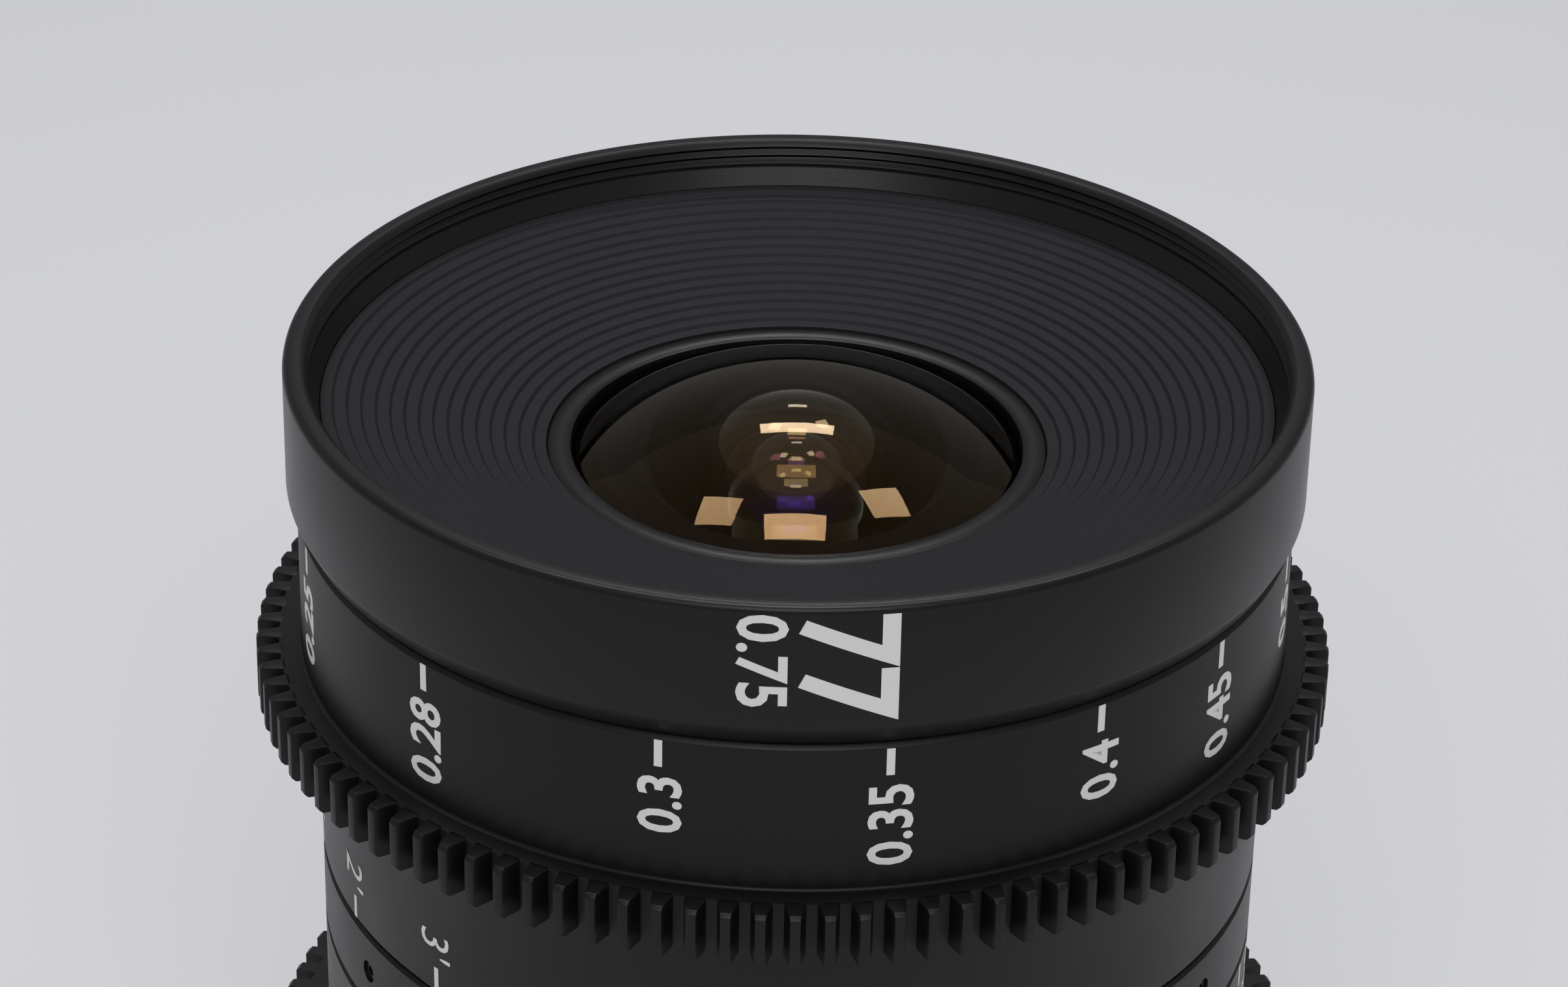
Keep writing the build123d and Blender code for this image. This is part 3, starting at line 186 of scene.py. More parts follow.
class LENS_PG_stage(bpy.types.PropertyGroup):
    """Size of the floor, and strengths of the lamps and of the room's light."""
    floor_size: bpy.props.FloatProperty(name="Floor size", default=6.0, unit="LENGTH",
                                        description="Side of the floor")
    floor_gap: millimetres("Floor gap", 0.05, "From the lens's lowest face down to the floor")
    key_power: bpy.props.FloatProperty(name="Key lamps", default=1.6, unit="POWER",
                                       description="Power of the lamps overhead and in front")
    side_power: bpy.props.FloatProperty(name="Side lamps", default=0.7, unit="POWER",
                                        description="Power of the lamps beside and behind")
    world_strength: bpy.props.FloatProperty(name="Room light", default=0.35,
                                            description="Strength of the even light of the room")


GROUPS = (("lens_front", LENS_PG_front), ("lens_rings", LENS_PG_rings), ("lens_scales", LENS_PG_scales),
          ("lens_colours", LENS_PG_colours), ("lens_stage", LENS_PG_stage))


def linear(value):
    """An sRGB hex value as linear red, green and blue, with full alpha."""
    parts = [int(value[i:i + 2], 16) / 255 for i in (1, 3, 5)]
    return tuple(p / 12.92 if p <= 0.04045 else ((p + 0.055) / 1.055) ** 2.4 for p in parts) + (1.0,)


def add_node(tree, kind, values=None, links=None, into=None, **settings):
    """Adds a node with its settings, its socket values and its links in and out."""
    node = tree.nodes.new(kind)
    for key, value in settings.items():
        setattr(node, key, value)
    for key, value in (values or {}).items():
        node.inputs[key].default_value = value
    for key, socket in (links or {}).items():
        tree.links.new(socket, node.inputs[key])
    for key, socket in (into or {}).items():
        tree.links.new(node.outputs[key], socket)
    return node


def new_material(name, **surface):
    """A material with its principled shader set, and the coordinates that its patterns read."""
    material = bpy.data.materials.new(name)
    material.use_nodes = True
    tree = material.node_tree
    shader = tree.nodes["Principled BSDF"]
    for key, value in surface.items():
        shader.inputs[key.replace("_", " ").title().replace("Ior", "IOR")].default_value = value
    coords = add_node(tree, "ShaderNodeTexCoord").outputs["Object"]
    return material, tree, shader, coords


def two_tones(colour, share):
    """A colour as linear values, and the same colour with its light scaled by a share."""
    base = linear(colour)
    return base, tuple(c * share for c in base[:3]) + (1.0,)


def vary(tree, shader, pattern, tones=None, rough=None, bump=None, relief=None):
    """Lets a pattern vary a surface between two tones and two roughnesses, and gives it a relief."""
    if tones:
        add_node(tree, "ShaderNodeMix", {"A": tones[0], "B": tones[1]}, {"Factor": pattern},
                 {"Result": shader.inputs["Base Color"]}, data_type="RGBA")
    if rough:
        add_node(tree, "ShaderNodeMapRange", {"To Min": rough[0], "To Max": rough[1]},
                 {"Value": pattern}, {"Result": shader.inputs["Roughness"]})
    if bump:
        add_node(tree, "ShaderNodeBump", {"Distance": bump[0], "Strength": bump[1]},
                 {"Height": relief or pattern}, {"Normal": shader.inputs["Normal"]})


def anodised_aluminium(name, colour, roughness=0.40):
    """Aluminium, bead blasted and then dyed black in its oxide: satin, with a very fine even grain."""
    material, tree, shader, coords = new_material(name, metallic=0.0, roughness=roughness, ior=1.36)
    # A real blast grain is too fine to show, so it is drawn this coarse
    grain_w = 0.22 * MM
    grain_depth = 0.012 * MM
    cloud_w = 9 * MM
    grain = add_node(tree, "ShaderNodeTexNoise", {"Scale": 1 / grain_w, "Detail": 2.0}, {"Vector": coords})
    cloud = add_node(tree, "ShaderNodeTexNoise", {"Scale": 1 / cloud_w, "Detail": 3.0}, {"Vector": coords})
    vary(tree, shader, cloud.outputs["Fac"], two_tones(colour, 1.35), (roughness - 0.05, roughness + 0.06),
         (grain_depth, 0.5), grain.outputs["Fac"])
    return material


def matte_lacquer(name, colour, ior=1.28, pebble_w=0.35 * MM):
    """Matte black stray-light lacquer: dull and slightly pebbled."""
    material, tree, shader, coords = new_material(name, metallic=0.0, roughness=0.62, ior=ior)
    pebble_depth = 0.01 * MM
    pebble = add_node(tree, "ShaderNodeTexNoise", {"Scale": 1 / pebble_w, "Detail": 3.0}, {"Vector": coords})
    vary(tree, shader, pebble.outputs["Fac"], two_tones(colour, 1.5), (0.52, 0.70), (pebble_depth, 0.5))
    return material


def turned_metal(name, colour, roughness, spacing):
    """Bare or plated metal off the lathe: bright, with fine rings around the axis."""
    material, tree, shader, coords = new_material(name, metallic=1.0, roughness=roughness)
    ring_depth = 0.004 * MM
    smudge_w = 6 * MM
    rings = add_node(tree, "ShaderNodeTexWave",
                     {"Scale": WAVE_LENGTH / spacing, "Distortion": 0.6, "Detail": 1.0}, {"Vector": coords},
                     wave_type="RINGS", rings_direction="Z")
    smudge = add_node(tree, "ShaderNodeTexNoise", {"Scale": 1 / smudge_w, "Detail": 4.0}, {"Vector": coords})
    vary(tree, shader, smudge.outputs["Fac"], two_tones(colour, 0.86), (roughness * 0.8, roughness * 1.3),
         (ring_depth, 0.35), rings.outputs["Fac"])
    return material


def black_oxide(name, colour):
    """Steel under black oxide: dark, slightly oily and glossier than the anodised rings."""
    material, tree, shader, coords = new_material(name, metallic=0.7, roughness=0.34)
    mottle_w = 0.8 * MM
    mottle = add_node(tree, "ShaderNodeTexNoise", {"Scale": 1 / mottle_w, "Detail": 3.0}, {"Vector": coords})
    vary(tree, shader, mottle.outputs["Fac"], two_tones(colour, 1.6), (0.28, 0.42))
    return material


def filled_enamel(name, colour):
    """Enamel wiped into an engraving and baked: even, satin, with a faint orange peel."""
    material, tree, shader, coords = new_material(name, base_color=linear(colour), metallic=0.0,
                                                  roughness=0.42)
    peel_w = 0.5 * MM
    peel_depth = 0.004 * MM
    peel = add_node(tree, "ShaderNodeTexNoise", {"Scale": 1 / peel_w, "Detail": 1.0}, {"Vector": coords})
    vary(tree, shader, peel.outputs["Fac"], rough=(0.36, 0.5), bump=(peel_depth, 0.4))
    return material


def glossy_bead(name, colour):
    """A cast red bead: clear gloss over saturated colour."""
    material, tree, shader, coords = new_material(name, base_color=linear(colour), roughness=0.12,
                                                  coat_weight=0.5)
    dust_w = 0.4 * MM
    dust = add_node(tree, "ShaderNodeTexNoise", {"Scale": 1 / dust_w, "Detail": 2.0}, {"Vector": coords})
    vary(tree, shader, dust.outputs["Fac"], rough=(0.08, 0.2))
    return material


def slip_film(name, colour):
    """Slippery white plastic film: waxy and dull."""
    material, tree, shader, coords = new_material(name, base_color=linear(colour), roughness=0.5)
    wax_w = 1.5 * MM
    wax = add_node(tree, "ShaderNodeTexNoise", {"Scale": 1 / wax_w, "Detail": 2.0}, {"Vector": coords})
    vary(tree, shader, wax.outputs["Fac"], rough=(0.42, 0.6))
    return material


def studio_card(name, colour):
    """Pale matte card: even and dull, with a fine tooth."""
    material, tree, shader, coords = new_material(name, base_color=linear(colour), roughness=0.8)
    tooth_w = 1.2 * MM
    tooth_depth = 0.02 * MM
    tooth = add_node(tree, "ShaderNodeTexNoise", {"Scale": 1 / tooth_w}, {"Vector": coords})
    vary(tree, shader, tooth.outputs["Fac"], bump=(tooth_depth, 0.2))
    return material


# Index of the films on the inner elements, and a paler one for the front glass
INNER_FILM_IOR = 1.32
FRONT_FILM_IOR = 1.37
# Shares of red, green and blue light that the glass lets through, where greenest and where clearest
GREENISH_GLASS = (0.965, 0.975, 0.965, 1.0)
CLEAR_GLASS = (0.99, 0.995, 0.99, 1.0)


def coated_glass(name, film, film_ior=INNER_FILM_IOR):
    """Polished optical glass under a quarter-wave film: it reflects little, and what it does is tinted."""
    # A multi-layer coating, drawn as one film. The thinner it is the warmer its reflection, and the lower
    # its index the darker and deeper in colour
    material, tree, shader, coords = new_material(name, roughness=0.0, ior=1.62, transmission_weight=1.0,
                                                  thin_film_thickness=film, thin_film_ior=film_ior)
    haze_w = 4 * MM
    haze = add_node(tree, "ShaderNodeTexNoise", {"Scale": 1 / haze_w, "Detail": 2.0}, {"Vector": coords})
    vary(tree, shader, haze.outputs["Fac"], (GREENISH_GLASS, CLEAR_GLASS))
    return material


def deselect():
    """Nothing stays selected when a new piece starts."""
    bpy.ops.object.select_all(action="DESELECT")


def choose(piece):
    """Only this piece is selected and active."""
    deselect()
    piece.select_set(True)
    bpy.context.view_layer.objects.active = piece


def finish_piece(piece, material, body, slot, *nodes):
    """Gives a piece its material and its body, and hides the nodes that it stands for; the slot is not used.
    """
    piece.data.materials.clear()
    piece.data.materials.append(material)
    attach(piece, body)
    if nodes:
        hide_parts(*nodes)
    return piece


def start_point(name, place):
    """A piece that starts as one vertex at a place, ready to be drawn on in edit mode."""
    deselect()
    bpy.ops.mesh.primitive_plane_add(size=MM, location=(0, 0, 0))
    piece = bpy.context.object
    piece.name = name
    piece.data.name = name
    bpy.ops.object.mode_set(mode="EDIT")
    bpy.ops.mesh.merge(type="CENTER")
    bpy.ops.transform.translate(value=place)
    return piece


def lathe(name, outline, steps, bevel=0.0, closed=True):
    """Draws a section of (radius, height) points by extruding a vertex, and spins it about the axis."""
    points = [Vector((r, 0, z)) for r, z in outline]
    piece = start_point(name, points[0])
    trail = points[1:] + points[:1] if closed else points[1:]
    last = points[0]
    for point in trail:
        bpy.ops.mesh.extrude_region_move(TRANSFORM_OT_translate={"value": point - last})
        last = point
    bpy.ops.mesh.select_all(action="SELECT")
    bpy.ops.mesh.remove_doubles(threshold=FINE_MERGE)
    bpy.ops.mesh.spin(steps=steps, angle=2 * HALF_TURN, center=(0, 0, 0), axis=(0, 0, 1))
    bpy.ops.mesh.select_all(action="SELECT")
    bpy.ops.mesh.remove_doubles(threshold=MERGE)
    bpy.ops.mesh.normals_make_consistent(inside=False)
    bpy.ops.object.mode_set(mode="OBJECT")
    if bevel:
        add_bevel(piece, bevel)
    bpy.ops.object.shade_smooth_by_angle(angle=math.radians(SMOOTH_ANGLE))
    return piece


def add_bevel(piece, width, segments=2, angle=24):
    """Rounds the sharp edges of a piece."""
    choose(piece)
    modifier = piece.modifiers.new("Edges", "BEVEL")
    modifier.width = width
    modifier.segments = segments
    modifier.limit_method = "ANGLE"
    modifier.angle_limit = math.radians(angle)
    modifier.use_clamp_overlap = True
    bpy.ops.object.modifier_apply(modifier=modifier.name)


def join(name, pieces):
    """Joins pieces into the first one and names it."""
    deselect()
    for piece in pieces:
        piece.select_set(True)
    bpy.context.view_layer.objects.active = pieces[0]
    bpy.ops.object.join()
    whole = bpy.context.object
    whole.name = name
    whole.data.name = name
    return whole


def sag(curve, radius):
    """How far a spherical surface drops from its apex at a radius."""
    return curve - math.copysign(math.sqrt(curve ** 2 - radius ** 2), curve)


def arc_points(curve, radius, apex, outwards):
    """Points of a spherical surface in section; a positive curve bends towards the camera mount."""
    points = []
    for step in range(SURFACE_STEPS + 1):
        share = step / SURFACE_STEPS if outwards else 1 - step / SURFACE_STEPS
        points.append((radius * share, apex - sag(curve, radius * share)))
    return points


class LENS_OT_front_ring(bpy.types.Operator):
    """Front ring with its filter thread, bright ledge and rounded rim"""
    bl_idname = "lens.front_ring"
    bl_label = "Front ring"

    def execute(self, context):
        size = context.scene.lens_front
        bore = FRONT_R - size.rim_wall
        seat = bore - size.ledge_step
        ledge = RIM_Z - size.filter_depth
        neck_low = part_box("front_ring")[0].z
        bottom = neck_low + size.neck_h
        web = bottom + size.web_t
        outline = [(size.bore_r, neck_low), (size.neck_r, neck_low), (size.neck_r, bottom),
                   (FRONT_R - size.taper_step, bottom), (FRONT_R, bottom + size.taper_h)]
        for step in range(ROUND_STEPS + 1):
            turn = HALF_TURN / 2 * step / ROUND_STEPS
            outline.append((FRONT_R - size.rim_fillet * (1 - math.cos(turn)),
                            RIM_Z - size.rim_fillet * (1 - math.sin(turn))))
        outline += [(bore + size.thread_chamfer, RIM_Z), (bore, RIM_Z - size.thread_chamfer)]
        turns = int((size.filter_depth - size.thread_chamfer) / size.thread_pitch)
        for turn in range(turns):
            crest = RIM_Z - size.thread_chamfer - turn * size.thread_pitch
            outline += [(bore + size.thread_depth, crest - size.thread_pitch / 2),
                        (bore, crest - size.thread_pitch)]
        outline += [(bore, ledge), (seat, ledge - size.ledge_drop), (seat, web), (size.bore_r, web)]
        ring = lathe("front_ring_turned", outline, RING_STEPS, size.edge)
        material = anodised_aluminium("black anodised front ring", context.scene.lens_colours.anodised, 0.35)
        finish_piece(ring, material, "barrel", "black_anodised", "front_ring")
        return {"FINISHED"}


class LENS_OT_baffle(bpy.types.Operator):
    """Stepped baffle, cut like a staircase towards the front glass"""
    bl_idname = "lens.baffle"
    bl_label = "Stepped baffle"

    def execute(self, context):
        size = context.scene.lens_front
        outer = BAFFLE_HIGH.x
        top = RIM_Z - size.baffle_drop
        floor = RIM_Z - size.baffle_floor
        step_w = (outer - size.baffle_border - size.baffle_inner_r) / size.baffle_steps
        riser = (top - floor) / size.baffle_steps
        outline = [(outer, top)]
        for step in range(size.baffle_steps):
            radius = outer - size.baffle_border - step * step_w
            outline += [(radius, top - step * riser),
                        (radius - step_w * size.riser_lean, top - (step + 1) * riser)]
        skirt = outer - size.baffle_skirt
        outline += [(size.baffle_inner_r, floor), (size.baffle_inner_r, floor - size.baffle_t),
                    (skirt, top - size.baffle_t), (skirt, BAFFLE_LOW.z), (outer, BAFFLE_LOW.z)]
        cone = lathe("front_baffle_stepped", outline, RING_STEPS, size.baffle_edge)
        material = matte_lacquer("matte black baffle lacquer", context.scene.lens_colours.baffle)
        finish_piece(cone, material, "barrel", "matte_black", "front_baffle")
        return {"FINISHED"}


class LENS_OT_retainer(bpy.types.Operator):
    """Flat ring that holds the front glass, with a slightly swollen face"""
    bl_idname = "lens.retainer"
    bl_label = "Front retaining ring"

    def execute(self, context):
        size = context.scene.lens_front
        lip = RETAINER_HIGH.z - size.retainer_crown
        low = lip - size.retainer_h
        half = (size.retainer_outer_r - size.retainer_inner_r) / 2
        middle = size.retainer_inner_r + half
        outline = [(size.retainer_inner_r, lip - size.retainer_lip)]
        for step in range(CROWN_STEPS + 1):
            share = 2 * step / CROWN_STEPS - 1
            outline.append((middle + half * share, lip + size.retainer_crown * (1 - share * share)))
        inner_wall = size.retainer_outer_r - size.retainer_wall
        outline += [(size.retainer_outer_r, low), (inner_wall, low), (inner_wall, lip - size.retainer_lip)]
        ring = lathe("front_retainer_turned", outline, RETAINER_STEPS, size.retainer_edge)
        dye = context.scene.lens_colours.anodised
        material = anodised_aluminium("black anodised retaining ring", dye, 0.34)
        finish_piece(ring, material, "barrel", "matte_black", "front_retainer")
        return {"FINISHED"}


# Each element: front radius of curvature and clear radius, rear ones, edge thickness, film in nanometres
ELEMENTS = {
    "lens_1": (30.0, 17.7, 11.5, 10.81, 3.95, 80.0),
    "lens_2": (13.0, 11.505, 8.2, 7.872, 1.0, 104.0),
    "lens_3": (16.0, 8.2, -16.0, 8.2, 1.6, 112.0),
    "lens_4": (30.0, 8.8, -20.0, 8.8, 0.9, 94.0),
    "lens_5": (-20.0, 8.8, -60.0, 8.8, 3.2, 104.0),
    "lens_6": (22.0, 8.8, 40.0, 8.6, 1.5, 114.0),
    "lens_7": (25.0, 7.5, -13.0, 7.8, 1.6, 108.0),
    "lens_8": (-13.0, 7.8, 60.0, 7.8, 4.0, 90.0),
    "lens_9": (20.0, 7.8, -20.0, 7.8, 1.4, 112.0),
    "lens_10": (-30.0, 7.8, -20.0, 10.7, 2.6, 100.0),
}
FOCUSING = ("lens_4", "lens_5", "lens_6")
# Film on the front glass's hollow rear face, in nanometres
FRONT_REAR_FILM = 112.0
# Faces this near an element's flats and its edge are inked
FLAT_REACH = 0.01 * MM
EDGE_REACH = 0.03 * MM
# The black inside the cells mirrors less than the baffle's, and has a coarser grain
CAVITY_IOR = 1.12
CAVITY_GRAIN = 3 * MM


class LENS_OT_glass(bpy.types.Operator):
    """Ten polished elements with coated faces and blackened edges"""
    bl_idname = "lens.glass"
    bl_label = "Glass elements"

    def execute(self, context):
        black = context.scene.lens_colours.cavity
        ink = matte_lacquer("edge blackening ink", black, CAVITY_IOR, CAVITY_GRAIN)
        for node, (front_rc, front_r, rear_rc, rear_r, edge_t, film) in ELEMENTS.items():
            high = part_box(node)[1]
            front_sag = sag(front_rc * MM, front_r * MM)
            front = high.z - max(front_sag, 0.0)
            rear = front - edge_t * MM
            rear_apex = rear + sag(rear_rc * MM, rear_r * MM)
            outline = arc_points(front_rc * MM, front_r * MM, front + front_sag, True)
            outline += [(high.x, front), (high.x, rear)]
            outline += arc_points(rear_rc * MM, rear_r * MM, rear_apex, False)
            outline = [point for index, point in enumerate(outline)
                       if index == 0 or (Vector(point) - Vector(outline[index - 1])).length > MERGE]
            piece = lathe(node + "_polished", outline, GLASS_STEPS, closed=False)
            foremost = node == "lens_1"
            film_ior = FRONT_FILM_IOR if foremost else INNER_FILM_IOR
            material = coated_glass("coated optical glass " + node, film, film_ior)
            body = "focus_group" if node in FOCUSING else "barrel"
            finish_piece(piece, material, body, "coated_glass", node)
            piece.data.materials.append(ink)
            if foremost:
                piece.data.materials.append(coated_glass("purple coated rear of lens_1", FRONT_REAR_FILM))
            for face in piece.data.polygons:
                reach = math.hypot(face.center.x, face.center.y)
                flat_front = face.center.z > front - FLAT_REACH and reach > front_r * MM
                flat_rear = face.center.z < rear + FLAT_REACH and reach > rear_r * MM
                if reach > high.x - EDGE_REACH or flat_front or flat_rear:
                    face.material_index = 1
                elif foremost and face.normal.z < 0:
                    face.material_index = 2
        return {"FINISHED"}


def toothed_band(name, size, low):
    """One tooth drawn out of a plane in three steps, then copied around the axis."""
    middle = low + size.gear_w / 2
    foot = size.gear_root_r - size.gear_corner
    pitch = 2 * HALF_TURN / size.gear_teeth
    root_w = size.gear_root_r * pitch * size.tooth_root_share
    tip_w = size.gear_tip_r * pitch * size.tooth_tip_share
    depth = size.gear_tip_r - size.gear_root_r
    neck_share = 1 - size.gear_corner / depth
    neck_w = root_w + (tip_w - root_w) * neck_share
    deselect()
    bpy.ops.mesh.primitive_plane_add(size=1, location=(0, 0, 0))
    tooth = bpy.context.object
    tooth.name = name
    tooth.data.name = name
    bpy.ops.object.mode_set(mode="EDIT")
    bpy.ops.transform.resize(value=(size.gear_w, root_w, 1))
    bpy.ops.transform.rotate(value=HALF_TURN / 2, orient_axis="Y", center_override=(0, 0, 0))
    bpy.ops.transform.translate(value=(foot, 0, middle))
    reach = foot
    width = root_w
    stages = ((size.gear_root_r, root_w, 1.0), (size.gear_tip_r - size.gear_corner, neck_w, 1.0),
              (size.gear_tip_r, tip_w, 1 - 2 * size.gear_corner / size.gear_w))
    for place, wide, tall in stages:
        bpy.ops.mesh.extrude_region_move(TRANSFORM_OT_translate={"value": (place - reach, 0, 0)})
        bpy.ops.transform.resize(value=(1, wide / width, tall), center_override=(place, 0, middle))
        reach = place
        width = wide
    bpy.ops.mesh.select_all(action="SELECT")
    bpy.ops.mesh.normals_make_consistent(inside=False)
    bpy.ops.object.mode_set(mode="OBJECT")
    add_bevel(tooth, size.edge, angle=30)
    bpy.ops.object.empty_add(location=(0, 0, 0), rotation=(0, 0, pitch))
    turner = bpy.context.object
    choose(tooth)
    row = tooth.modifiers.new("Teeth", "ARRAY")
    row.use_relative_offset = False
    row.use_object_offset = True
    row.offset_object = turner
    row.count = size.gear_teeth
    bpy.ops.object.modifier_apply(modifier=row.name)
    bpy.data.objects.remove(turner)
    return tooth


class LENS_OT_focus_ring(bpy.types.Operator):
    """Focus ring with the metre band, the toothed band and the feet band"""
    bl_idname = "lens.focus_ring"
    bl_label = "Focus ring"

    def execute(self, context):
        size = context.scene.lens_rings
        top = FOCUS_HIGH.z
        low = FOCUS_LOW.z
        band = top - size.metric_h
        gear = band - size.gear_w
        cut = size.chamfer
        outline = [(size.bore_r, low), (size.band_r - cut, low), (size.band_r, low + cut),
                   (size.band_r, gear), (size.gear_root_r, gear), (size.gear_root_r, band)]
        for step in range(ROUND_STEPS + 1):
            turn = HALF_TURN / 2 * step / ROUND_STEPS
            outline.append((size.metric_r + size.root_fillet * (1 - math.sin(turn)),
                            band + size.root_fillet * (1 - math.cos(turn))))
        outline += [(size.metric_r, top - cut), (size.metric_r - cut, top), (size.bore_r, top)]
        ring = lathe("focus_ring_turned", outline, RING_STEPS, size.edge)
        teeth = toothed_band("focus_gear_teeth", size, gear)
        material = anodised_aluminium("black anodised focus ring", context.scene.lens_colours.anodised, 0.42)
        whole = join("focus_ring_geared", [ring, teeth])
        choose(whole)
        bpy.ops.object.shade_smooth_by_angle(angle=math.radians(SMOOTH_ANGLE))
        finish_piece(whole, material, "focus_ring", "black_anodised", "focus_ring")
        return {"FINISHED"}


# Scale values with their places in degrees from the front witness mark, positive towards the right.
# The feet dial stands half a turn from the metre dial, so one distance is read on both sides of the lens
METRE_MARKS = (("0.22", -119.7), ("0.23", -102.0), ("0.25", -73.4), ("0.28", -44.1), ("0.3", -14.1),
               ("0.35", 10.7), ("0.4", 35.5), ("0.45", 55.2), ("0.5", 76.5), ("0.6", 114.0), ("0.7", 122.5),
               ("1", 136.8), ("2", 158.4), ("∞", 180.0))
FEET_MARKS = (("∞", 0.0), ("7'", -20.2), ("3'", -45.0), ("2'", -63.3), ("1.8'", -80.5), ("1.5'", -121.4),
              ("1.2'", -160.8), ("1'", 168.6), ("0.9'", 130.8), ("0.8'", 98.3))
APERTURE_MARKS = (("2.8", 0.0), ("4", 26.5), ("5.6", 45.4), ("8", 58.9), ("11", 68.4), ("16", 75.1),
                  ("22", 80.0))
# Places of the two numbers on the front ring, in the same degrees
BIG_NUMBER_ANGLE = 6.3
SMALL_NUMBER_ANGLE = -2.9
# Height of the typeface's digits and of its infinity sign at a type size of one
DIGIT_RISE = 0.73
INFINITY_RISE = 0.6
# How far the infinity sign is raised, as a share of the digits' height
INFINITY_LIFT = 0.16
# Digits are drawn narrower than the typeface's
DIGIT_WIDTH_SHARE = 0.90
# Half the depth of the type, before it is thinned to the paint
TYPE_DEPTH = 0.05
# Strips that a digit is cut into, so that it bends with its band
TYPE_STRIPS = 7
# Strokes drawn bolder than the plain typeface by this share of the type size, on each side
BOLD_SHARE = 0.02
FINE_SHARE = -0.006


def drawn_text(text, height, thickness, bold=BOLD_SHARE):
    """A line of text as a closed flat mesh, with its left end and its base at the origin."""
    deselect()
    bpy.ops.object.text_add(location=(0, 0, 0))
    words = bpy.context.object
    words.data.body = text
    words.data.resolution_u = 3
    words.data.extrude = TYPE_DEPTH
    words.data.offset = bold
    bpy.ops.object.convert(target="MESH")
    words = bpy.context.object
    points = [v.co for v in words.data.vertices]
    infinity = text == "∞"
    left = min(p.x for p in points)
    base = min(p.y for p in points) if infinity else 0.0
    lift = INFINITY_LIFT * height if infinity else 0.0
    factor = height / (INFINITY_RISE if infinity else DIGIT_RISE)
    bpy.ops.object.mode_set(mode="EDIT")
    bpy.ops.mesh.select_all(action="SELECT")
    bpy.ops.transform.translate(value=(-left, -base, 0))
    bpy.ops.transform.resize(value=(factor * DIGIT_WIDTH_SHARE, factor, thickness / (2 * TYPE_DEPTH)),
                             center_override=(0, 0, 0))
    bpy.ops.transform.translate(value=(0, lift, 0))
    for cut in range(1, TYPE_STRIPS):
        bpy.ops.mesh.select_all(action="SELECT")
        bpy.ops.mesh.bisect(plane_co=(0, height * cut / TYPE_STRIPS, 0), plane_no=(0, 1, 0))
    bpy.ops.object.mode_set(mode="OBJECT")
    return words


def drawn_bar(length, width, thickness):
    """A dash as a thin block, with its left end at the origin and its width centred."""
    deselect()
    bpy.ops.mesh.primitive_cube_add(size=1, location=(0, 0, 0))
    bar = bpy.context.object
    bpy.ops.object.mode_set(mode="EDIT")
    bpy.ops.transform.resize(value=(length, width, thickness), center_override=(0, 0, 0))
    bpy.ops.transform.translate(value=(length / 2, 0, 0))
    bpy.ops.object.mode_set(mode="OBJECT")
    return bar


def wrap(piece, radius, angle, height, forwards, middle):
    """Bends a flat mark onto a band: it reads towards the front or towards the camera mount."""
    way = 1 if forwards else -1
    for vertex in piece.data.vertices:
        along, across, out = vertex.co
        turn = math.radians(angle - 90) - way * (across - middle) / radius
        reach = radius + out
        vertex.co = (reach * math.cos(turn), reach * math.sin(turn), height + way * along)
    return piece


def scale_marks(name, marks, size, radius, dash_z, dash_h, digit_h, forwards, dash_first):
    """A scale's dashes and digits around a band, joined into one piece."""
    pieces = []
    way = 1 if forwards else -1
    dash_w = size.dash_w if forwards else size.feet_dash_w
    bold = BOLD_SHARE if forwards else FINE_SHARE
    for text, angle in marks:
        bar = drawn_bar(dash_h, dash_w, 2 * size.paint_t)
        pieces.append(wrap(bar, radius, angle, dash_z, forwards, 0.0))
        words = drawn_text(text, digit_h, 2 * size.paint_t, bold)
        long = max(v.co.x for v in words.data.vertices)
        if dash_first:
            start = dash_z + way * (dash_h + size.text_gap)
        else:
            start = dash_z - way * (long + size.text_gap)
        pieces.append(wrap(words, radius, angle, start, forwards, digit_h / 2))
    whole = join(name, pieces)
    choose(whole)
    bpy.ops.object.mode_set(mode="EDIT")
    bpy.ops.mesh.select_all(action="SELECT")
    bpy.ops.mesh.remove_doubles(threshold=MERGE)
    bpy.ops.mesh.normals_make_consistent(inside=False)
    bpy.ops.object.mode_set(mode="OBJECT")
    return whole


class LENS_OT_scales(bpy.types.Operator):
    """Metre, feet and aperture scales, engraved and filled with white"""
    bl_idname = "lens.scales"
    bl_label = "Scales"

    def execute(self, context):
        size = context.scene.lens_scales
        rings = context.scene.lens_rings
        enamel = filled_enamel("white filled engraving", context.scene.lens_colours.white)
        metre_z = FOCUS_HIGH.z - size.edge_gap - size.metric_dash_h
        metres = scale_marks("metre_scale", METRE_MARKS, size, rings.metric_r, metre_z, size.metric_dash_h,
                             size.digit_h, True, False)
        finish_piece(metres, enamel, "focus_ring", "white_enamel")
        feet_z = FOCUS_LOW.z + size.edge_gap + size.feet_dash_h
        feet = scale_marks("feet_scale", FEET_MARKS, size, rings.band_r, feet_z, size.feet_dash_h,
                           size.digit_h, False, False)
        finish_piece(feet, enamel, "focus_ring", "white_enamel")
        stop_z = IRIS_TOP - size.edge_gap
        stops = scale_marks("aperture_scale", APERTURE_MARKS, size, rings.band_r, stop_z, size.feet_dash_h,
                            size.digit_h * size.aperture_share, False, True)
        finish_piece(stops, enamel, "iris_ring", "white_enamel")
        return {"FINISHED"}


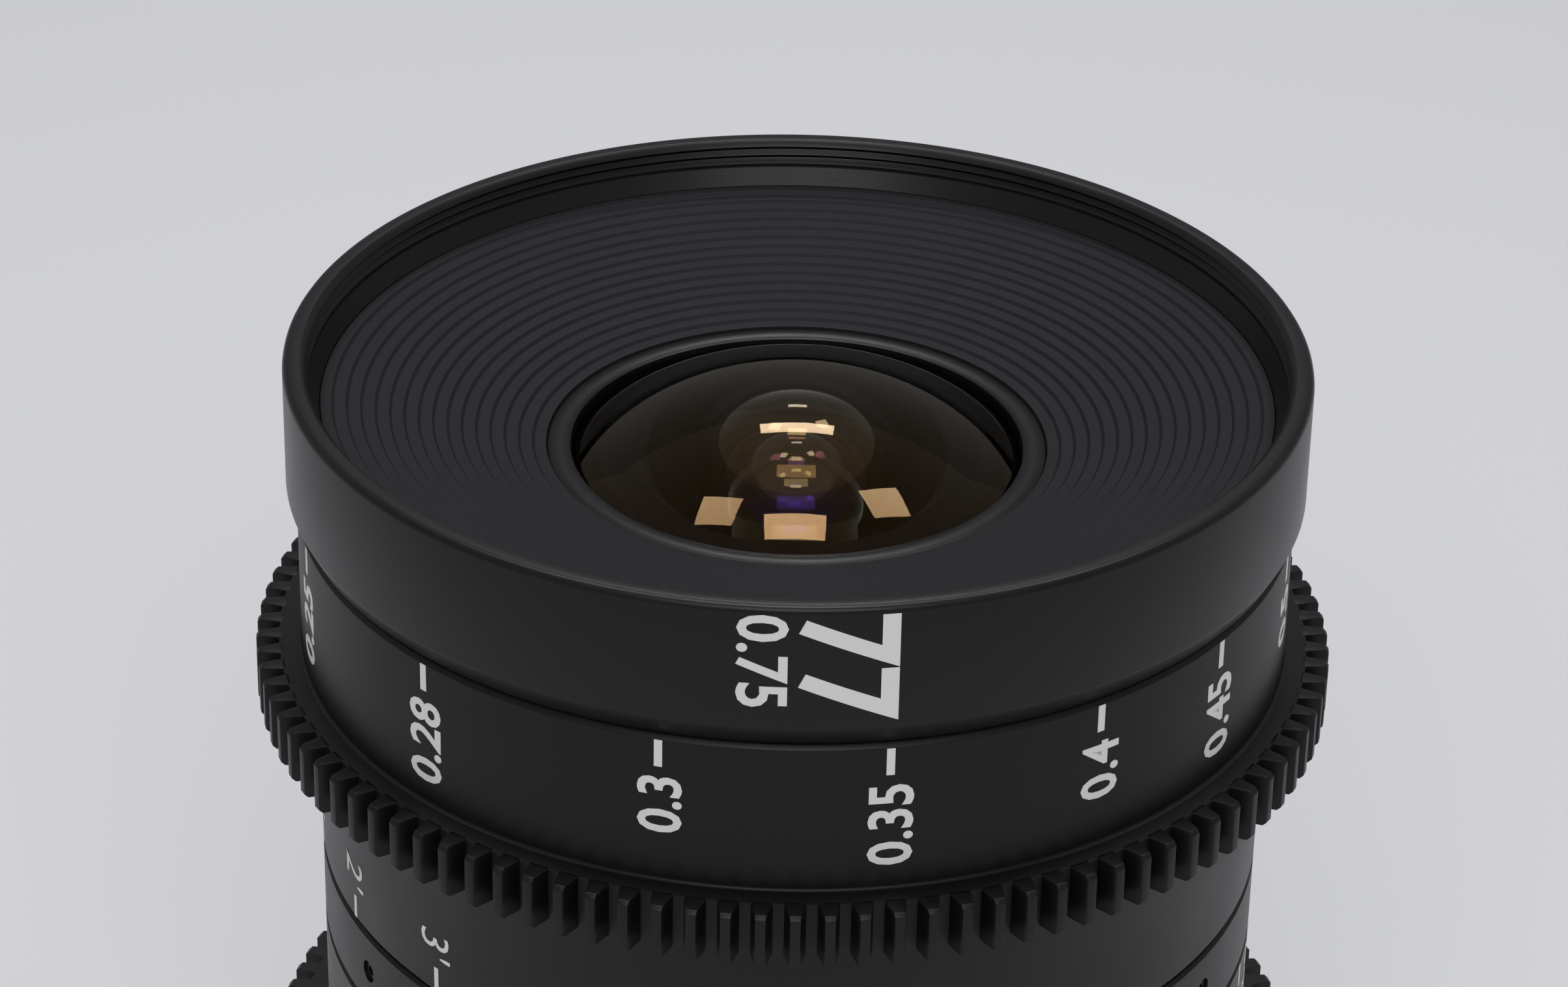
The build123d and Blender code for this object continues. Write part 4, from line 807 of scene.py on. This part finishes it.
class LENS_OT_front_number(bpy.types.Operator):
    """Filter size in plain numbers on the front ring"""
    bl_idname = "lens.front_number"
    bl_label = "Filter size"

    def execute(self, context):
        size = context.scene.lens_scales
        enamel = filled_enamel("white filled filter size", context.scene.lens_colours.white)
        big = drawn_text("77", size.big_digit_h, 2 * size.paint_t)
        small = drawn_text("0.75", size.small_digit_h, 2 * size.paint_t)
        top = RIM_Z - size.number_drop
        wrap(big, FRONT_R, BIG_NUMBER_ANGLE, top, False, size.big_digit_h / 2)
        wrap(small, FRONT_R, SMALL_NUMBER_ANGLE, top, False, size.small_digit_h / 2)
        mark = join("filter_size_mark", [big, small])
        finish_piece(mark, enamel, "barrel", "white_enamel")
        return {"FINISHED"}


class LENS_OT_inner_finish(bpy.types.Operator):
    """Finishes of the pieces that keep their machined shape"""
    bl_idname = "lens.inner_finish"
    bl_label = "Inner finishes"

    def execute(self, context):
        colours = context.scene.lens_colours
        finishes = {
            "black_anodised": anodised_aluminium("black anodised rings", colours.anodised),
            "matte_black": matte_lacquer("cavity black lacquer", colours.cavity, CAVITY_IOR, CAVITY_GRAIN),
            "hard_anodised": anodised_aluminium("hard anodised slides", colours.hard, 0.36),
            "brass": turned_metal("turned brass", colours.brass, 0.24, 0.3 * MM),
            "steel": turned_metal("bright steel", colours.steel, 0.22, 0.2 * MM),
            "black_steel": black_oxide("black oxide steel", colours.black_steel),
            "bright_chrome": turned_metal("satin chrome plate", colours.chrome, 0.26, 0.35 * MM),
            "slip_plastic": slip_film("slip film", colours.slip),
            "white_enamel": filled_enamel("white filled witness marks", colours.white),
            "red_enamel": glossy_bead("red mount bead", colours.red),
            "coated_glass": coated_glass("coated optical glass", 100.0),
        }
        slots = {part["node"]: part["material_slot"] for part in frame["record"]["subparts"]}
        for node, piece in frame["nodes"].items():
            piece.data.materials.clear()
            piece.data.materials.append(finishes[slots[node]])
        return {"FINISHED"}


# Linear colour of the room's even light
ROOM_COLOUR = (0.9, 0.92, 0.95, 1.0)


class LENS_OT_stage(bpy.types.Operator):
    """Pale floor that curves up behind the lens, soft lamps and the camera"""
    bl_idname = "lens.stage"
    bl_label = "Stage"

    def execute(self, context):
        stage = context.scene.lens_stage
        self.add_floor(context, stage)
        self.add_lamps(stage)
        self.add_world(context, stage)
        self.add_camera(context)
        context.scene.view_settings.view_transform = "Standard"
        return {"FINISHED"}

    def add_floor(self, context, stage):
        """A plane with its far edge drawn up into a backdrop, rounded where it turns."""
        low = LOWEST_Z - stage.floor_gap
        half = stage.floor_size / 2
        far = half * 0.9
        rounding = half * 0.6
        turn_angle = 60
        deselect()
        bpy.ops.mesh.primitive_plane_add(size=stage.floor_size, location=(0, 0, 0))
        floor = context.object
        floor.name = "studio_floor"
        bpy.ops.object.mode_set(mode="EDIT")
        bpy.ops.transform.translate(value=(0, 0, low))
        bpy.ops.mesh.select_all(action="DESELECT")
        bpy.ops.object.mode_set(mode="OBJECT")
        for edge in floor.data.edges:
            edge.select = all(floor.data.vertices[v].co.y > far for v in edge.vertices)
        bpy.ops.object.mode_set(mode="EDIT")
        bpy.ops.mesh.select_mode(type="EDGE")
        bpy.ops.mesh.extrude_region_move(TRANSFORM_OT_translate={"value": (0, 0, half)})
        bpy.ops.mesh.select_mode(type="VERT")
        bpy.ops.object.mode_set(mode="OBJECT")
        add_bevel(floor, rounding, segments=12, angle=turn_angle)
        bpy.ops.object.shade_smooth_by_angle(angle=math.radians(turn_angle))
        floor.data.materials.append(studio_card("pale studio card", context.scene.lens_colours.floor))

    def add_lamps(self, stage):
        """Soft lamps overhead, to each side of that, behind and in front."""
        aim = Vector((0, 0, RIM_Z))
        # Each lamp: its name, its place, its width, its height and its power
        lamps = (("top_lamp", (0.0, -0.01, 0.83), 0.22, 0.12, stage.key_power),
                 ("left_lamp", (-0.26, 0.10, 0.78), 0.13, 0.14, stage.side_power),
                 ("right_lamp", (0.29, 0.17, 0.75), 0.13, 0.14, stage.side_power),
                 ("back_lamp", (0.0, 0.48, 0.66), 0.20, 0.06, stage.side_power),
                 ("front_lamp", (0.0, -0.58, 0.58), 0.50, 0.20, stage.key_power))
        for name, place, wide, tall, power in lamps:
            bpy.ops.object.light_add(type="AREA", location=place)
            lamp = bpy.context.object
            lamp.name = name
            lamp.data.shape = "RECTANGLE"
            lamp.data.size = wide
            lamp.data.size_y = tall
            lamp.data.energy = power
            lamp.rotation_euler = (aim - Vector(place)).to_track_quat("-Z", "Y").to_euler()

    def add_world(self, context, stage):
        """An even pale room."""
        world = bpy.data.worlds.new("pale room")
        context.scene.world = world
        world.use_nodes = True
        background = world.node_tree.nodes["Background"]
        background.inputs["Color"].default_value = ROOM_COLOUR
        background.inputs["Strength"].default_value = stage.world_strength

    def add_camera(self, context):
        """The photograph's view: 27 degrees above the rim, with the rim's centre at its pixel."""
        wide_px, tall_px, focal_px = 2408, 1515, 7500
        rim_px = (1221.98, 534.29)
        distance = 379.66 * MM
        elevation = 0.475834
        roll = 0.0209426
        sensor_mm = 36.0
        back = Vector((0, -math.cos(elevation), math.sin(elevation)))
        right = Vector((1, 0, 0))
        up = back.cross(right)
        pan = math.atan2(rim_px[0] - wide_px / 2, focal_px)
        tilt = math.atan2(rim_px[1] - tall_px / 2, focal_px)
        panned = Matrix.Rotation(pan, 3, up)
        forward, right = panned @ -back, panned @ right
        tilted = Matrix.Rotation(tilt, 3, right)
        forward, up = tilted @ forward, tilted @ up
        level_right = right * math.cos(roll) + up * math.sin(roll)
        level_up = up * math.cos(roll) - right * math.sin(roll)
        rotation = Matrix((level_right, level_up, -forward)).transposed()
        bpy.ops.object.camera_add(location=Vector((0, 0, RIM_Z)) + back * distance)
        camera = context.object
        camera.name = "photo_camera"
        camera.rotation_euler = rotation.to_euler()
        camera.data.sensor_width = sensor_mm
        camera.data.lens = sensor_mm * focal_px / wide_px
        camera.data.clip_start = 0.01
        context.scene.camera = camera


STEPS = (LENS_OT_inner_finish, LENS_OT_front_ring, LENS_OT_baffle, LENS_OT_retainer, LENS_OT_glass,
         LENS_OT_focus_ring, LENS_OT_scales, LENS_OT_front_number, LENS_OT_stage)


class LENS_PT_panel(bpy.types.Panel):
    """Sizes and steps of the lens in the sidebar"""
    bl_idname = "LENS_PT_panel"
    bl_label = "Cinema prime lens"
    bl_space_type = "VIEW_3D"
    bl_region_type = "UI"
    bl_category = "Lens"

    def draw(self, context):
        for step in STEPS:
            self.layout.operator(step.bl_idname)
        for name, group in GROUPS:
            box = self.layout.box()
            box.label(text=group.__doc__)
            for key in group.__annotations__:
                box.prop(getattr(context.scene, name), key)


CLASSES = tuple(group for _, group in GROUPS) + STEPS + (LENS_PT_panel,)


def register():
    """Registers the classes and hangs the sizes on the scene."""
    for item in CLASSES:
        bpy.utils.register_class(item)
    for name, group in GROUPS:
        setattr(bpy.types.Scene, name, bpy.props.PointerProperty(type=group))


def unregister():
    """Takes the sizes and the classes away again."""
    for name, _ in GROUPS:
        delattr(bpy.types.Scene, name)
    for item in reversed(CLASSES):
        bpy.utils.unregister_class(item)


def main():
    """Dresses the lens."""
    register()
    for step in STEPS:
        family, action = step.bl_idname.split(".")
        getattr(getattr(bpy.ops, family), action)()


if __name__ == "__main__":
    main()
